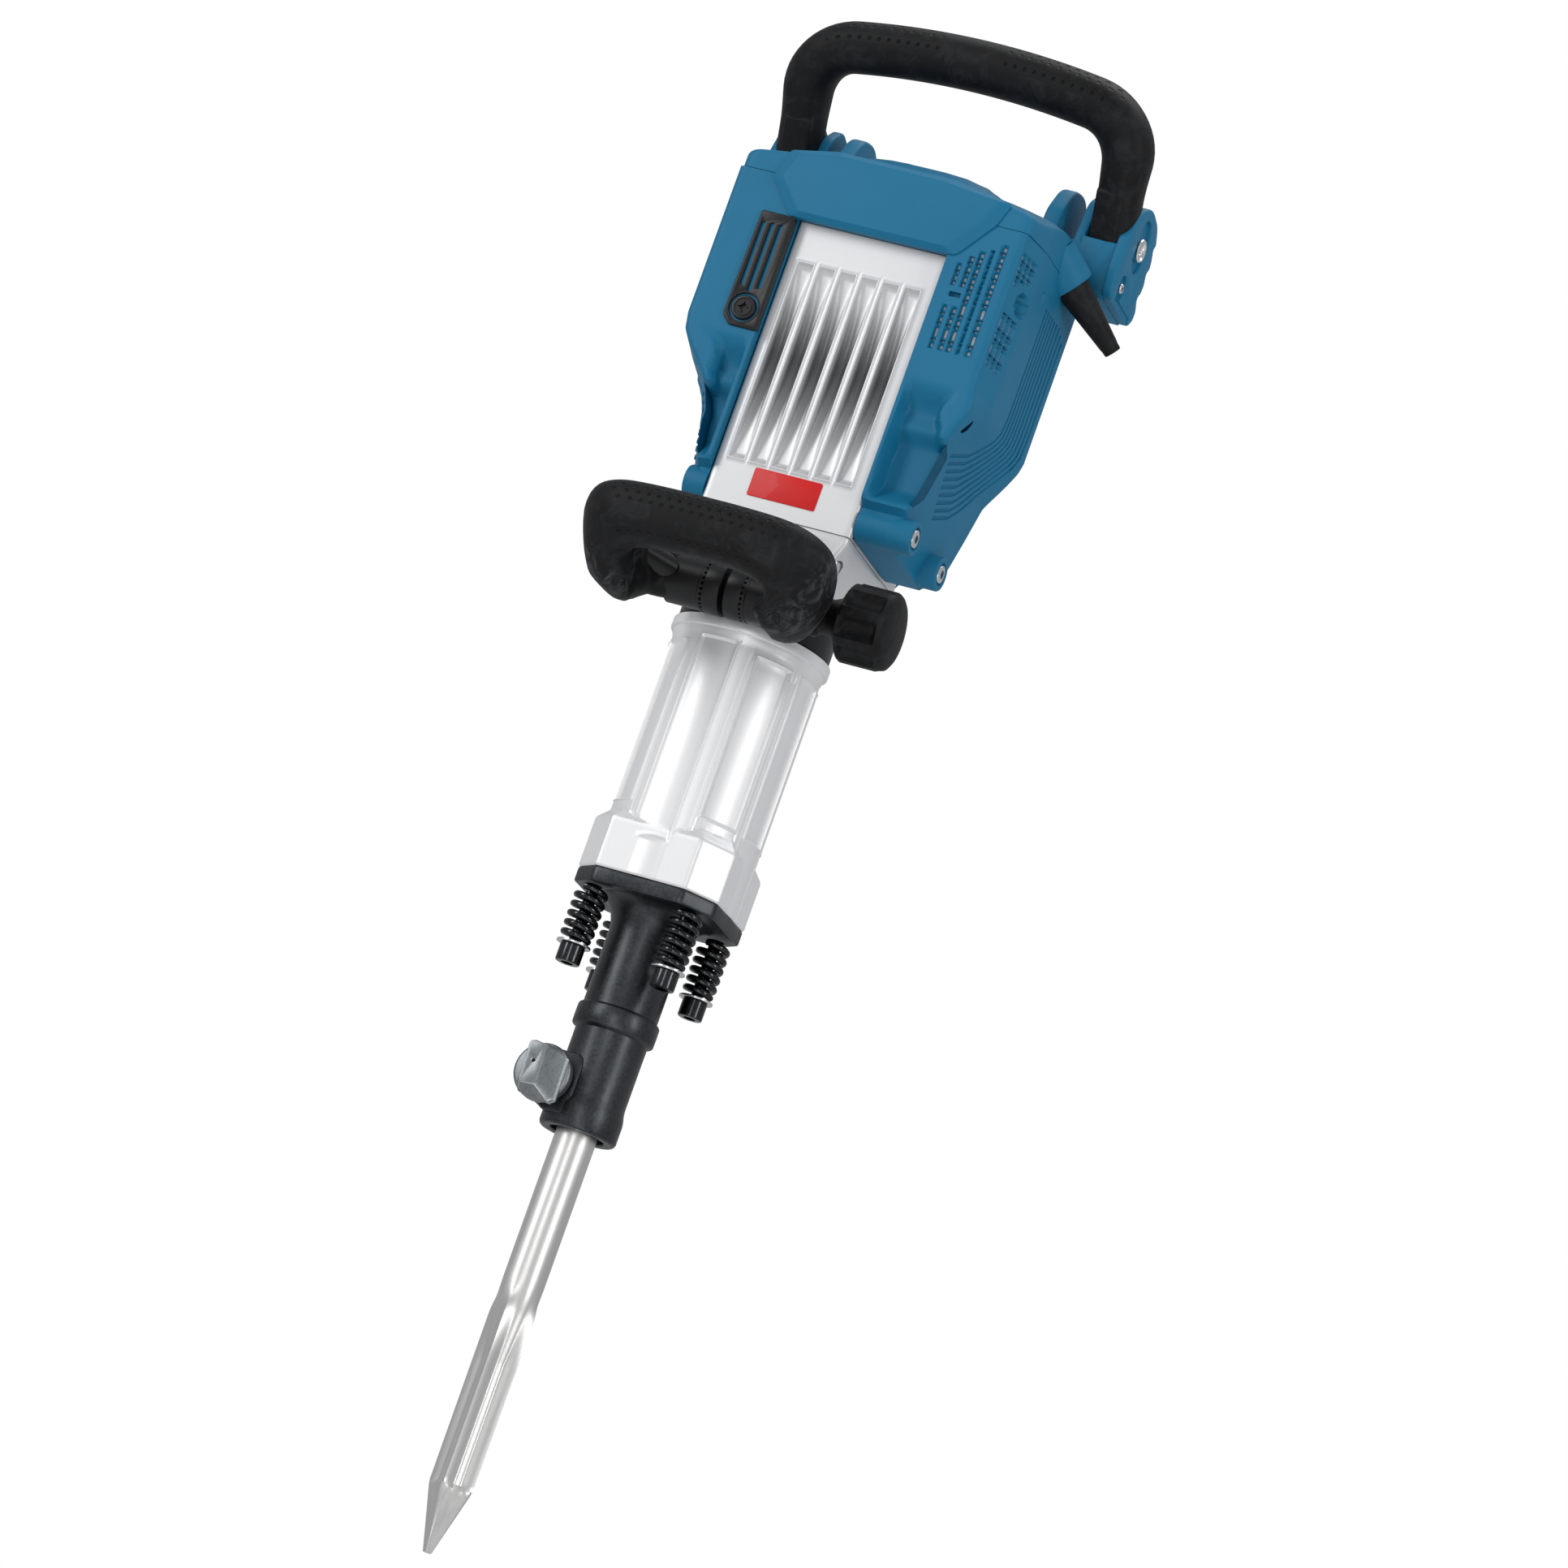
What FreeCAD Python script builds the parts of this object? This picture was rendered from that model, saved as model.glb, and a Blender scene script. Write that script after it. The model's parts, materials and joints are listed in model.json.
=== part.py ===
import FreeCAD, Part
import math
import os
import re
from types import SimpleNamespace
import Sketcher
from FreeCAD import Placement, Rotation, Vector

# Electric demolition hammer. Millimetres. The origin is the centre of the tool holder's mouth,
# +Z runs up the tool axis to the main handle, -Y is the front with the ribbed panel.

sizes = {
    # tool and tool holder
    "shank_flats": 28, "shank_top": 115, "shank_bottom": 3,
    "tool_radius": 13.15, "flute_start": 94, "tip_length": 44,
    "tool_below": 272, "shoulder_radius": 14.9, "shoulder_depth": 118, "neck_depth": 228,
    "flute_radius": 9, "flute_offset": 17.6, "tip_width": 6,
    "mouth_radius": 24.5, "mouth_length": 20, "lower_radius": 23.5, "lower_length": 46,
    "ring_radius": 26, "ring_length": 14, "tube_radius": 24.2, "tube_length": 58,
    "root_radius": 30, "root_length": 9.5, "flange_bottom": 147.5, "flange_thickness": 9.5,
    "socket_flats": 28.6, "guide_radius": 16.6, "guide_bottom": 112,
    "fit": 0.08, "gap": 0.4,
    # lock bolt
    "lock_x": -22, "lock_height": 26, "lock_radius": 9, "boss_radius": 17, "boss_half": 26,
    "lock_flat": 5, "lock_plate_radius": 19, "lock_plate_thickness": 6.5, "lock_plate_flat": 15,
    "lock_knob_width": 15, "lock_knob_height": 22, "lock_knob_depth": 9, "lock_collar_radius": 13,
    "lock_collar_length": 2.7, "lock_pin_radius": 1.2, "notch_depth": 12.7, "notch_top": 35.4,
    "notch_length": 30.8,
    # spring screws
    "screw_spacing": 32, "screw_radius": 4, "screw_head_radius": 8, "screw_head_length": 11.5,
    "screw_bottom": 96, "screw_length": 80, "washer_radius": 11, "washer_thickness": 1.6,
    "wire_radius": 2.15, "spring_radius": 8.5, "spring_pitch": 6.4, "spring_length": 33.5,
    # barrel
    "barrel_bottom": 157.3, "barrel_block": 48, "barrel_radius": 49, "barrel_length": 117,
    "rim_radius": 51.5, "rim_length": 7, "neck_radius": 44, "neck_length": 28.7,
    "bush_chamber": 22, "barrel_bore": 38, "barrel_bore_length": 130, "neck_bore": 30,
    # striking gear
    "bush_length": 20, "impact_radius": 16.5, "impact_bottom": 115.4, "impact_length": 65.6,
    "impact_collar_radius": 18.5, "impact_collar_length": 9, "impact_tip_radius": 12,
    "impact_tip_length": 10, "cylinder_bore": 20.06, "cylinder_radius": 26, "cylinder_bottom": 205.4,
    "cylinder_tube_length": 181, "cylinder_foot_radius": 37.8, "cylinder_foot": 8,
    "striker_radius": 20, "striker_bottom": 213, "striker_length": 55, "ring_depth": 1.6,
    "ring_width": 3, "piston_bottom": 307, "piston_length": 50, "piston_bore": 15,
    "wrist_height": 340, "wrist_radius": 5, "wrist_half": 18,
    # crank and gears
    "crank_height": 446, "crank_throw": 16, "crank_disc_radius": 27, "crank_disc_width": 9,
    "crank_shaft_radius": 10, "crank_pin_radius": 6, "rod_width": 13, "rod_big_radius": 12,
    "rod_small_radius": 9.5, "rod_bar_width": 11, "motor_height": 522, "motor_back": 16,
    "first_module": 1.25, "motor_teeth": 11, "first_teeth": 55, "second_module": 1.75,
    "second_pinion_teeth": 12, "crank_teeth": 30, "backlash": 0.3, "first_width": 9,
    "second_width": 12, "gear_plate_thickness": 9, "middle_shaft_radius": 6,
    # motor
    "motor_shaft_radius": 6, "pinion_shaft_radius": 4, "core_radius": 27.6, "core_length": 58,
    "commutator_radius": 16, "commutator_length": 18, "stator_radius": 44, "stator_bore": 28.4,
    "stator_length": 62, "fan_radius": 34, "fan_hub_radius": 10, "fan_length": 8, "fan_blades": 9,
    "bearing_radius": 14, "bearing_width": 8, "crank_bearing_radius": 20, "shield_radius": 40,
    "shield_thickness": 8, "shield_leg": 8, "brush_width": 8, "brush_height": 12, "brush_length": 18,
    "holder_wall": 2.5, "holder_length": 26,
    # housings
    "panel_half": 51, "panel_front": 38, "case_back": 72, "case_bottom": 401, "case_top": 592,
    "case_wall": 8, "groove_width": 10.4, "groove_pitch": 14.6, "groove_bottom": 433,
    "groove_height": 133, "groove_depth": 5.5, "groove_left": 43, "edge_round": 4,
    "gearcase_bottom": 358, "gearcase_knee": 374, "gearcase_half": 44, "gearcase_front": 37,
    "gearcase_back": 46, "case_screw_x": 41, "case_screw_front": 27, "case_screw_back": 58,
    "case_screw_head": 6.6, "case_screw_head_length": 14, "case_screw_bottom": 372,
    "case_screw_radius": 4, "case_screw_length": 17, "case_screw_pocket": 8,
    "cover_front": 45, "cover_back": 75, "cover_half": 103, "cover_bottom": 401, "cover_top": 617,
    "cover_wall": 2.6, "cover_step": 497, "cover_waist": 88, "cover_waist_height": 452,
    "cover_foot": 80, "scoop_depth": 12, "scoop_left": 56, "scoop_right": 90, "scoop_bottom": 428,
    "lug_radius": 11, "lug_front": -28, "lug_back": 38, "lug_height": 413, "lug_end": 89,
    "lug_screw_radius": 5, "lug_screw_length": 8,
    "cap_top": 657, "cap_front_top": 636, "cap_front": 46.5, "cap_wall": 3, "cap_back": 56,
    "cap_room_half": 82, "deck": 2.8, "badge_low_half": 50, "badge_high_half": 62, "badge_bottom": 590,
    "rear_cover_thickness": 3.5, "brush_cover_width": 25, "brush_cover_height": 78,
    "brush_cover_bottom": 513, "brush_cover_thickness": 6, "brush_cover_left": -76,
    "brush_screw_radius": 8.5, "brush_screw_height": 526, "brush_screw_length": 2.5,
    "label_width": 46, "label_height": 19, "label_bottom": 411, "label_thickness": 0.6,
    "switch_width": 22, "switch_length": 30, "switch_plate": 3, "rocker_tilt": 7,
    # main handle and brackets
    "grip_half": 111, "grip_radius": 18, "core_tube": 11, "bar_y": 30, "bar_z": 741.5,
    "lean_y": -0.482, "lean_z": 0.876, "arch_radius": 578, "corner_radius": 44.6,
    "leg_drop": 51, "leg_end": 82, "leg_width": 20, "leg_depth": 33, "leg_foot": 30,
    "pivot_y": 86, "pivot_z": 665, "tongue_radius": 20, "tongue_width": 18, "lever_length": 38,
    "lever_depth": 12, "bolt_radius": 5, "bolt_head_radius": 8, "bolt_head": 3,
    "cheek_radius": 33, "cheek_width": 7, "fork_width": 22, "fork_inner": 96.5,
    "fork_bottom": 620.3, "fork_front": 52, "fork_back": 114, "fork_block_top": 668,
    "arm_depth": 19, "arm_height": 34, "arm_start": 40, "arm_bottom": 622, "disc_radius": 31,
    "disc_start": 68, "disc_width": 10,
    "buffer_radius": 5, "buffer_height": 634, "bracket_screw_radius": 3.5, "bracket_screw_length": 7,
    # auxiliary handle
    "aux_y": -66.5, "aux_z": 341, "band_inner": 44.3, "band_outer": 49.3, "band_height": 22,
    "ear_radius": 16, "ear_width": 11, "ear_gap": 1.5, "hub_width": 26, "hub_start": 13,
    "aux_bar_y": -149, "aux_bar_z": 353.5, "aux_bar_half": 62, "aux_bar_radius": 17.5,
    "aux_core": 8, "aux_bend": 24, "screw_bore": 5, "knob_radius": 25.5, "knob_length": 33.5,
    "knob_start": 79, "knob_flute": 6, "knob_flutes": 8, "stem_radius": 12,
    # cable sleeve
    "sleeve_base": 11.5, "sleeve_tip": 5.6, "sleeve_length": 50, "sleeve_bore": 4.6,
    "sleeve_x": 105.6, "sleeve_y": 40, "sleeve_z": 617.3,
}
mm = SimpleNamespace(**sizes)

doc = FreeCAD.newDocument("DemolitionHammer")
sheet = doc.addObject("Spreadsheet::Sheet", "Dim")
for row, (word, value) in enumerate(sizes.items(), 1):
    sheet.set(f"A{row}", word)
    sheet.set(f"B{row}", str(value))
    sheet.setAlias(f"B{row}", word)
doc.recompute()

along = {
    "X": Rotation(Vector(0, 1, 0), 90),
    "Y": Rotation(Vector(1, 0, 0), -90),
    "Z": Rotation(),
}
nodes = []


def bind(item, prop, words):
    """Ties a property to the sheet. Each word is an alias."""
    item.setExpression(prop, re.sub(r"[a-z]\w*", lambda word: "Dim." + word.group(), words))


def keep(item, label):
    item.Label = label
    nodes.append(item)
    return item


def turn_to(axis):
    return along[axis] if isinstance(axis, str) else axis


def rod(name, radius, length, base, axis="Z"):
    item = doc.addObject("Part::Cylinder", name)
    bind(item, "Radius", radius)
    bind(item, "Height", length)
    item.Placement = Placement(Vector(*base), turn_to(axis))
    return item


def taper(name, start, end, length, base, axis="Z"):
    item = doc.addObject("Part::Cone", name)
    bind(item, "Radius1", start)
    bind(item, "Radius2", end)
    bind(item, "Height", length)
    item.Placement = Placement(Vector(*base), turn_to(axis))
    return item


def block(name, lengths, corner, turn=Rotation()):
    item = doc.addObject("Part::Box", name)
    for prop, words in zip(("Length", "Width", "Height"), lengths):
        bind(item, prop, words)
    item.Placement = Placement(Vector(*corner), turn)
    return item


def prism(name, corners, length, base=(0, 0, 0), turn=Rotation()):
    """A polygon of (across, up) expressions, drawn in a sketch and extruded along its normal."""
    sketch = doc.addObject("Sketcher::SketchObject", name + "_outline")
    count = len(corners)
    start = [Vector(9 * math.cos(2 * math.pi * k / count), 9 * math.sin(2 * math.pi * k / count), 0)
             for k in range(count)]
    sketch.addGeometry([Part.LineSegment(start[k], start[(k + 1) % count]) for k in range(count)], False)
    for k in range(count):
        sketch.addConstraint(Sketcher.Constraint("Coincident", k, 2, (k + 1) % count, 1))
    for k, (across, up) in enumerate(corners):
        for kind, words, value in (("DistanceX", across, start[k].x), ("DistanceY", up, start[k].y)):
            number = sketch.addConstraint(Sketcher.Constraint(kind, -1, 1, k, 1, value))
            bind(sketch, f"Constraints[{number}]", words)
    sketch.Placement = Placement(Vector(*base), turn)
    solid = doc.addObject("Part::Extrusion", name)
    solid.Base = sketch
    solid.DirMode = "Normal"
    solid.Solid = True
    bind(solid, "LengthFwd", length)
    return solid


def joined(name, items):
    item = doc.addObject("Part::MultiFuse", name)
    item.Shapes = items
    item.Refine = True
    return item


def carved(name, solid, tools):
    item = doc.addObject("Part::Cut", name)
    item.Base = solid
    item.Tool = tools[0] if len(tools) == 1 else joined(name + "_tools", tools)
    item.Refine = True
    return item


def stack(name, sections, base, axis="Z"):
    """Coaxial sections one after another, each (radius, length alias) or (start, end, length alias)."""
    step = along[axis].multVec(Vector(0, 0, 1))
    place = Vector(*base)
    items = []
    for number, section in enumerate(sections):
        label = f"{name}_{number}"
        if len(section) == 2:
            items.append(rod(label, section[0], section[1], place, axis))
        else:
            items.append(taper(label, *section, place, axis))
        place = place + step * sizes[section[-1]]
    return joined(name, items)


def group(name, items):
    """Separate solids of one kind, kept together in one node."""
    item = doc.addObject("Part::Compound", name)
    item.Links = items
    return keep(item, name)


def corners_at(spacing):
    return [(x, y) for x in (-spacing, spacing) for y in (-spacing, spacing)]


front_plane = Rotation(Vector(1, 0, 0), 90)      # across = X, up = Z, the normal points to -Y
side_plane = Rotation(Vector(0, 0, 1), 90) * front_plane      # across = Y, up = Z, the normal is +X
hexagon_corner = 1 / math.cos(math.radians(30)) / 2


# ---- tool holder, lock bolt, chisel -------------------------------------------------------------
def hexagon(name, flats, length, bottom):
    item = doc.addObject("Part::Prism", name)
    item.Polygon = 6
    bind(item, "Circumradius", f"{flats} * {hexagon_corner:.6f}")
    bind(item, "Height", length)
    item.Placement.Base = Vector(0, 0, bottom)
    return item


flange_corners = [("-17", "-50"), ("41", "-44"), ("50", "-17"), ("43", "39"),
                  ("17", "50"), ("-41", "44"), ("-50", "17"), ("-43", "-39")]


def tool_holder():
    body = stack("holder_tube", [("mouth_radius", "mouth_length"), ("lower_radius", "lower_length"),
                                 ("ring_radius", "ring_length"), ("tube_radius", "tube_length"),
                                 ("tube_radius", "root_radius", "root_length")], (0, 0, 0))
    flange = prism("holder_flange", flange_corners, "flange_thickness", (0, 0, mm.flange_bottom))
    boss = rod("holder_boss", "boss_radius", "boss_half * 2", (mm.lock_x, -mm.boss_half, mm.lock_height), "Y")
    holes = [rod(f"flange_hole_{k}", "screw_radius + gap", "flange_thickness + 2",
                 (x, y, mm.flange_bottom - 1)) for k, (x, y) in enumerate(corners_at(mm.screw_spacing))]
    tools = [hexagon("socket", "socket_flats", "guide_bottom + 2", -1),
             rod("socket_mouth", "guide_radius", "4", (0, 0, -1)),
             rod("socket_guide", "guide_radius", "50", (0, 0, mm.guide_bottom)),
             rod("lock_bore", "lock_radius + fit", "boss_half * 2 + 4",
                 (mm.lock_x, -mm.boss_half - 2, mm.lock_height), "Y")]
    keep(carved("tool_holder_solid", joined("holder_body", [body, flange, boss]), tools + holes),
         "tool_holder")


def lock_bolt():
    plate_front = -mm.boss_half - mm.gap - mm.lock_collar_length - 0.2 - mm.lock_plate_thickness
    shaft = rod("lock_shaft", "lock_radius", f"{mm.boss_half - 2 - plate_front}",
                (mm.lock_x, plate_front, mm.lock_height), "Y")
    plate = rod("lock_plate", "lock_plate_radius", "lock_plate_thickness",
                (mm.lock_x, plate_front, mm.lock_height), "Y")
    plate_flat = block("lock_plate_flat_cut", ["30", "lock_plate_thickness", "60"],
                       (mm.lock_x + mm.lock_plate_flat, plate_front, mm.lock_height - 30))
    knob = block("lock_knob", ["lock_knob_width", "lock_knob_depth", "lock_knob_height"],
                 (mm.lock_x - mm.lock_knob_width / 2, plate_front - mm.lock_knob_depth,
                  mm.lock_height - mm.lock_knob_height / 2))
    flat = block("lock_flat_cut", ["10", "36", "24"],
                 (mm.lock_x - mm.lock_flat - 10, -18, mm.lock_height - 12))
    pin_hole = rod("lock_pin_hole", "lock_pin_radius", "5",
                   (mm.lock_x - 3, plate_front - mm.lock_knob_depth - 1, mm.lock_height + 6), "Y")
    solid = joined("lock_body", [shaft, carved("lock_plate_solid", plate, [plate_flat]), knob])
    keep(carved("lock_bolt_solid", solid, [flat, pin_hole]), "lock_bolt")
    collar_front = -mm.boss_half - mm.gap - mm.lock_collar_length
    collar = rod("collar_disc", "lock_collar_radius", "lock_collar_length",
                 (mm.lock_x, collar_front, mm.lock_height), "Y")
    collar_bore = rod("collar_bore", "lock_radius + fit", "lock_collar_length + 2",
                      (mm.lock_x, collar_front - 1, mm.lock_height), "Y")
    keep(carved("lock_collar_solid", collar, [collar_bore]), "lock_bolt_collar")


def chisel():
    shank = hexagon("shank", "shank_flats", "shank_top - shank_bottom", mm.shank_bottom)
    notch = block("shank_notch", ["20", "60", "notch_length"],
                  (-mm.notch_depth - 20, -30, mm.notch_top - mm.notch_length))
    body = rod("tool_round", "tool_radius", "shank_bottom + flute_start",
               (0, 0, -mm.flute_start))
    shoulder = taper("tool_shoulder", "shoulder_radius", "tool_radius", "shoulder_depth - flute_start",
                     (0, 0, -mm.shoulder_depth))
    blade = taper("tool_blade", "tool_radius", "shoulder_radius", "neck_depth - shoulder_depth",
                  (0, 0, -mm.neck_depth))
    wide = mm.tool_radius * math.sqrt(2) / 2
    tip = doc.addObject("Part::Wedge", "tool_tip")
    for prop, words in (("Xmin", f"-{wide}"), ("Xmax", f"{wide}"), ("Zmin", f"-{wide}"), ("Zmax", f"{wide}"),
                        ("X2min", "-tip_width / 2"), ("X2max", "tip_width / 2"),
                        ("Z2min", "-tip_width / 2"), ("Z2max", "tip_width / 2"),
                        ("Ymin", "0"), ("Ymax", "tip_length")):
        bind(tip, prop, words)
    tip.Placement = Placement(Vector(0, 0, -mm.neck_depth), Rotation(Vector(1, 0, 0), -90))
    flutes = [rod(f"flute_{k}", "flute_radius", "tool_below - flute_start - 36",
                  (mm.flute_offset * math.cos(k * math.pi / 2), mm.flute_offset * math.sin(k * math.pi / 2),
                   36 - mm.tool_below)) for k in range(4)]
    solid = carved("tool_cut", joined("tool_body", [body, shoulder, blade]), flutes)
    keep(joined("chisel_solid", [carved("shank_solid", shank, [notch]), solid, tip]), "chisel")


def spring_set():
    screws, washers, springs = [], [], []
    washer_bottom = mm.screw_bottom + mm.screw_head_length
    for k, (x, y) in enumerate(corners_at(mm.screw_spacing)):
        head = rod(f"spring_screw_head_{k}", "screw_head_radius", "screw_head_length",
                   (x, y, mm.screw_bottom))
        socket = hexagon(f"spring_screw_socket_{k}", "8", "6", mm.screw_bottom - 1)
        socket.Placement.Base = Vector(x, y, mm.screw_bottom - 1)
        shank = rod(f"spring_screw_shank_{k}", "screw_radius", "screw_length", (x, y, washer_bottom))
        screws.append(carved(f"spring_screw_{k}", joined(f"spring_screw_body_{k}", [head, shank]), [socket]))
        disc = rod(f"spring_washer_disc_{k}", "washer_radius", "washer_thickness", (x, y, washer_bottom))
        hole = rod(f"spring_washer_hole_{k}", "screw_radius + fit", "washer_thickness + 2",
                   (x, y, washer_bottom - 1))
        washers.append(carved(f"spring_washer_{k}", disc, [hole]))
        springs.append(coil(k, x, y, washer_bottom + mm.washer_thickness + mm.wire_radius + 0.2))
    group("spring_screws", screws)
    group("spring_washers", washers)
    group("holder_springs", springs)


def coil(k, x, y, bottom):
    helix = doc.addObject("Part::Helix", f"spring_path_{k}")
    bind(helix, "Pitch", "spring_pitch")
    bind(helix, "Height", "spring_length")
    bind(helix, "Radius", "spring_radius")
    helix.Placement.Base = Vector(x, y, bottom)
    wire = doc.addObject("Part::Circle", f"spring_wire_{k}")
    bind(wire, "Radius", "wire_radius")
    wire.Placement = Placement(Vector(x + mm.spring_radius, y, bottom), Rotation(Vector(1, 0, 0), 90))
    sweep = doc.addObject("Part::Sweep", f"spring_{k}")
    sweep.Sections = [wire]
    sweep.Spine = (helix, [])
    sweep.Solid = True
    sweep.Frenet = True
    return sweep


# ---- barrel and striking gear -------------------------------------------------------------------
def barrel():
    block_part = prism("barrel_block_solid", flange_corners, "barrel_block", (0, 0, mm.barrel_bottom))
    tube = stack("barrel_tube", [("barrel_radius", "barrel_length"), ("rim_radius", "rim_length"),
                                 ("neck_radius", "neck_length")],
                 (0, 0, mm.gearcase_bottom - mm.neck_length - mm.rim_length - mm.barrel_length))
    bores = [rod("barrel_bush_bore", "bush_chamber", "barrel_block + 4", (0, 0, mm.barrel_bottom - 2)),
             rod("barrel_main_bore", "barrel_bore", "barrel_bore_length", (0, 0, mm.cylinder_bottom)),
             rod("barrel_neck_bore", "neck_bore", "30", (0, 0, mm.gearcase_bottom - 28))]
    threads = [rod(f"barrel_thread_{k}", "screw_radius + 0.03", "36", (x, y, mm.barrel_bottom - 1))
               for k, (x, y) in enumerate(corners_at(mm.screw_spacing))]
    keep(carved("barrel_solid", joined("barrel_body", [block_part, tube]), bores + threads), "barrel_housing")


def ring(label, outer, inner, length, base, axis="Z"):
    step = along[axis].multVec(Vector(0, 0, 1))
    disc = rod(label + "_disc", outer, length, base, axis)
    hole = rod(label + "_hole", inner, f"{length} + 2", Vector(*base) - step, axis)
    return carved(label + "_ring", disc, [hole])


def striking_gear():
    keep(ring("bush", "bush_chamber - 0.02", "impact_radius + fit", "bush_length",
              (0, 0, mm.barrel_bottom + 0.4)), "guide_bush")
    keep(stack("impact", [("impact_radius", "impact_length"),
                          ("impact_collar_radius", "impact_collar_length"),
                          ("impact_tip_radius", "impact_tip_length")], (0, 0, mm.impact_bottom)),
         "impact_bolt")
    shell = stack("cylinder", [("cylinder_foot_radius", "cylinder_foot"),
                               ("cylinder_radius", "cylinder_tube_length")], (0, 0, mm.cylinder_bottom))
    keep(carved("cylinder_solid", shell, [rod("cylinder_hole", "cylinder_bore", "220",
                                              (0, 0, mm.cylinder_bottom - 2))]), "cylinder_tube")
    seal_height = mm.striker_bottom + mm.striker_length * 0.7
    striker_groove = ring("striker_groove", "striker_radius + 1", "striker_radius - ring_depth",
                          "ring_width", (0, 0, seal_height))
    striker_nose = ring("striker_nose", "striker_radius + 1", "impact_tip_radius + 2", "12",
                        (0, 0, mm.striker_bottom - 1))
    keep(carved("striker_solid", rod("striker_rod", "striker_radius", "striker_length",
                                     (0, 0, mm.striker_bottom)), [striker_groove, striker_nose]), "striker")
    keep(ring("striker_seal", "striker_radius", "striker_radius - ring_depth", "ring_width",
              (0, 0, seal_height)), "striker_seal")
    piston_seal_height = mm.piston_bottom + 8
    hollow = rod("piston_hollow", "piston_bore", "piston_length", (0, 0, mm.piston_bottom + 14))
    wrist_bore = rod("piston_wrist_bore", "wrist_radius", "60", (-30, 0, mm.wrist_height), "X")
    piston_groove = ring("piston_groove", "striker_radius + 1", "striker_radius - ring_depth",
                         "ring_width", (0, 0, piston_seal_height))
    keep(carved("piston_solid", rod("piston_rod", "striker_radius", "piston_length",
                                    (0, 0, mm.piston_bottom)), [hollow, wrist_bore, piston_groove]), "piston")
    keep(ring("piston_seal", "striker_radius", "striker_radius - ring_depth", "ring_width",
              (0, 0, piston_seal_height)), "piston_seal")
    keep(rod("wrist_pin_rod", "wrist_radius", "wrist_half * 2", (-mm.wrist_half, 0, mm.wrist_height), "X"),
         "wrist_pin")


# ---- crank train --------------------------------------------------------------------------------
def crank_train():
    pin_height = mm.crank_height - mm.crank_throw
    half = mm.rod_width / 2
    big = rod("rod_big_end", "rod_big_radius", "rod_width", (-half, 0, pin_height), "X")
    small = rod("rod_small_end", "rod_small_radius", "rod_width", (-half, 0, mm.wrist_height), "X")
    bar = block("rod_bar", ["rod_width", "rod_bar_width", f"{pin_height - mm.wrist_height}"],
                (-half, -mm.rod_bar_width / 2, mm.wrist_height))
    holes = [rod("rod_pin_bore", "crank_pin_radius", "30", (-15, 0, pin_height), "X"),
             rod("rod_wrist_bore", "wrist_radius + fit / 2", "30", (-15, 0, mm.wrist_height), "X")]
    keep(carved("rod_solid", joined("rod_body", [big, small, bar]), holes), "connecting_rod")
    keep(rod("crank_pin_rod", "crank_pin_radius", "rod_width + 1", (-half - 1, 0, pin_height), "X"),
         "crank_pin")
    disc_start = half + 0.7
    disc = rod("crank_disc", "crank_disc_radius", "crank_disc_width", (disc_start, 0, mm.crank_height), "X")
    socket = rod("crank_socket", "crank_pin_radius + fit", "6", (disc_start - 1, 0, pin_height), "X")
    relief = block("crank_relief", ["30", "60", "20"], (disc_start - 1, -30, mm.crank_height + 14))
    shaft_end = second_stage + mm.second_width + 1
    shaft = rod("crank_axle", "crank_shaft_radius", f"{shaft_end - disc_start - 4}",
                (disc_start + 4, 0, mm.crank_height), "X")
    keep(joined("crankshaft_solid", [carved("crank_web", disc, [socket, relief]), shaft]), "crankshaft")


def involute_gear(label, module, teeth, width, bore, centre, turn):
    """Spur gear along +X. turn is the angle of its first tooth from +Y towards +Z, in degrees."""
    pitch = module * teeth / 2
    base = pitch * math.cos(math.radians(20))
    radii = [pitch - 1.15 * module, max(base, pitch - 0.5 * module), pitch, pitch + 0.8 * module]
    half_pitch = (math.pi * module / 2 - mm.backlash) / 2 / pitch

    def involute(radius):
        angle = math.acos(min(1, base / max(radius, base)))
        return math.tan(angle) - angle

    halves = [half_pitch + involute(pitch) - involute(radius) for radius in radii]
    points = []
    for tooth in range(teeth):
        middle = 2 * math.pi * tooth / teeth + math.radians(turn)
        flank = [(radius, -half) for radius, half in zip(radii, halves)]
        flank += [(radius, half) for radius, half in reversed(list(zip(radii, halves)))]
        points += [Vector(0, radius * math.cos(middle + half), radius * math.sin(middle + half))
                   for radius, half in flank]
    face = Part.Face(Part.makePolygon(points + points[:1]))
    solid = face.extrude(Vector(width, 0, 0))
    hole = Part.makeCylinder(bore, width + 2, Vector(-1, 0, 0), Vector(1, 0, 0))
    item = doc.addObject("Part::Feature", label)
    item.Shape = solid.cut(hole)
    item.Placement = Placement(Vector(*centre), Rotation())
    return keep(item, label)


first_distance = mm.first_module * (mm.motor_teeth + mm.first_teeth) / 2
second_distance = mm.second_module * (mm.second_pinion_teeth + mm.crank_teeth) / 2
second_stage = 51
first_stage = second_stage + mm.second_width + 2


def middle_axis():
    """The intermediate shaft sits at both centre distances from the motor and the crank."""
    rise = mm.motor_height - mm.crank_height
    span = math.hypot(mm.motor_back, rise)
    share = (second_distance ** 2 - first_distance ** 2 + span ** 2) / (2 * span)
    aside = math.sqrt(second_distance ** 2 - share ** 2)
    y = share * mm.motor_back / span + aside * rise / span
    z = mm.crank_height + share * rise / span - aside * mm.motor_back / span
    return y, z


middle_y, middle_z = middle_axis()
plate_start = second_stage - 3 - mm.gear_plate_thickness
shield_start = -86
commutator_start = -66
core_start = -34
fan_start = 28


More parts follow.
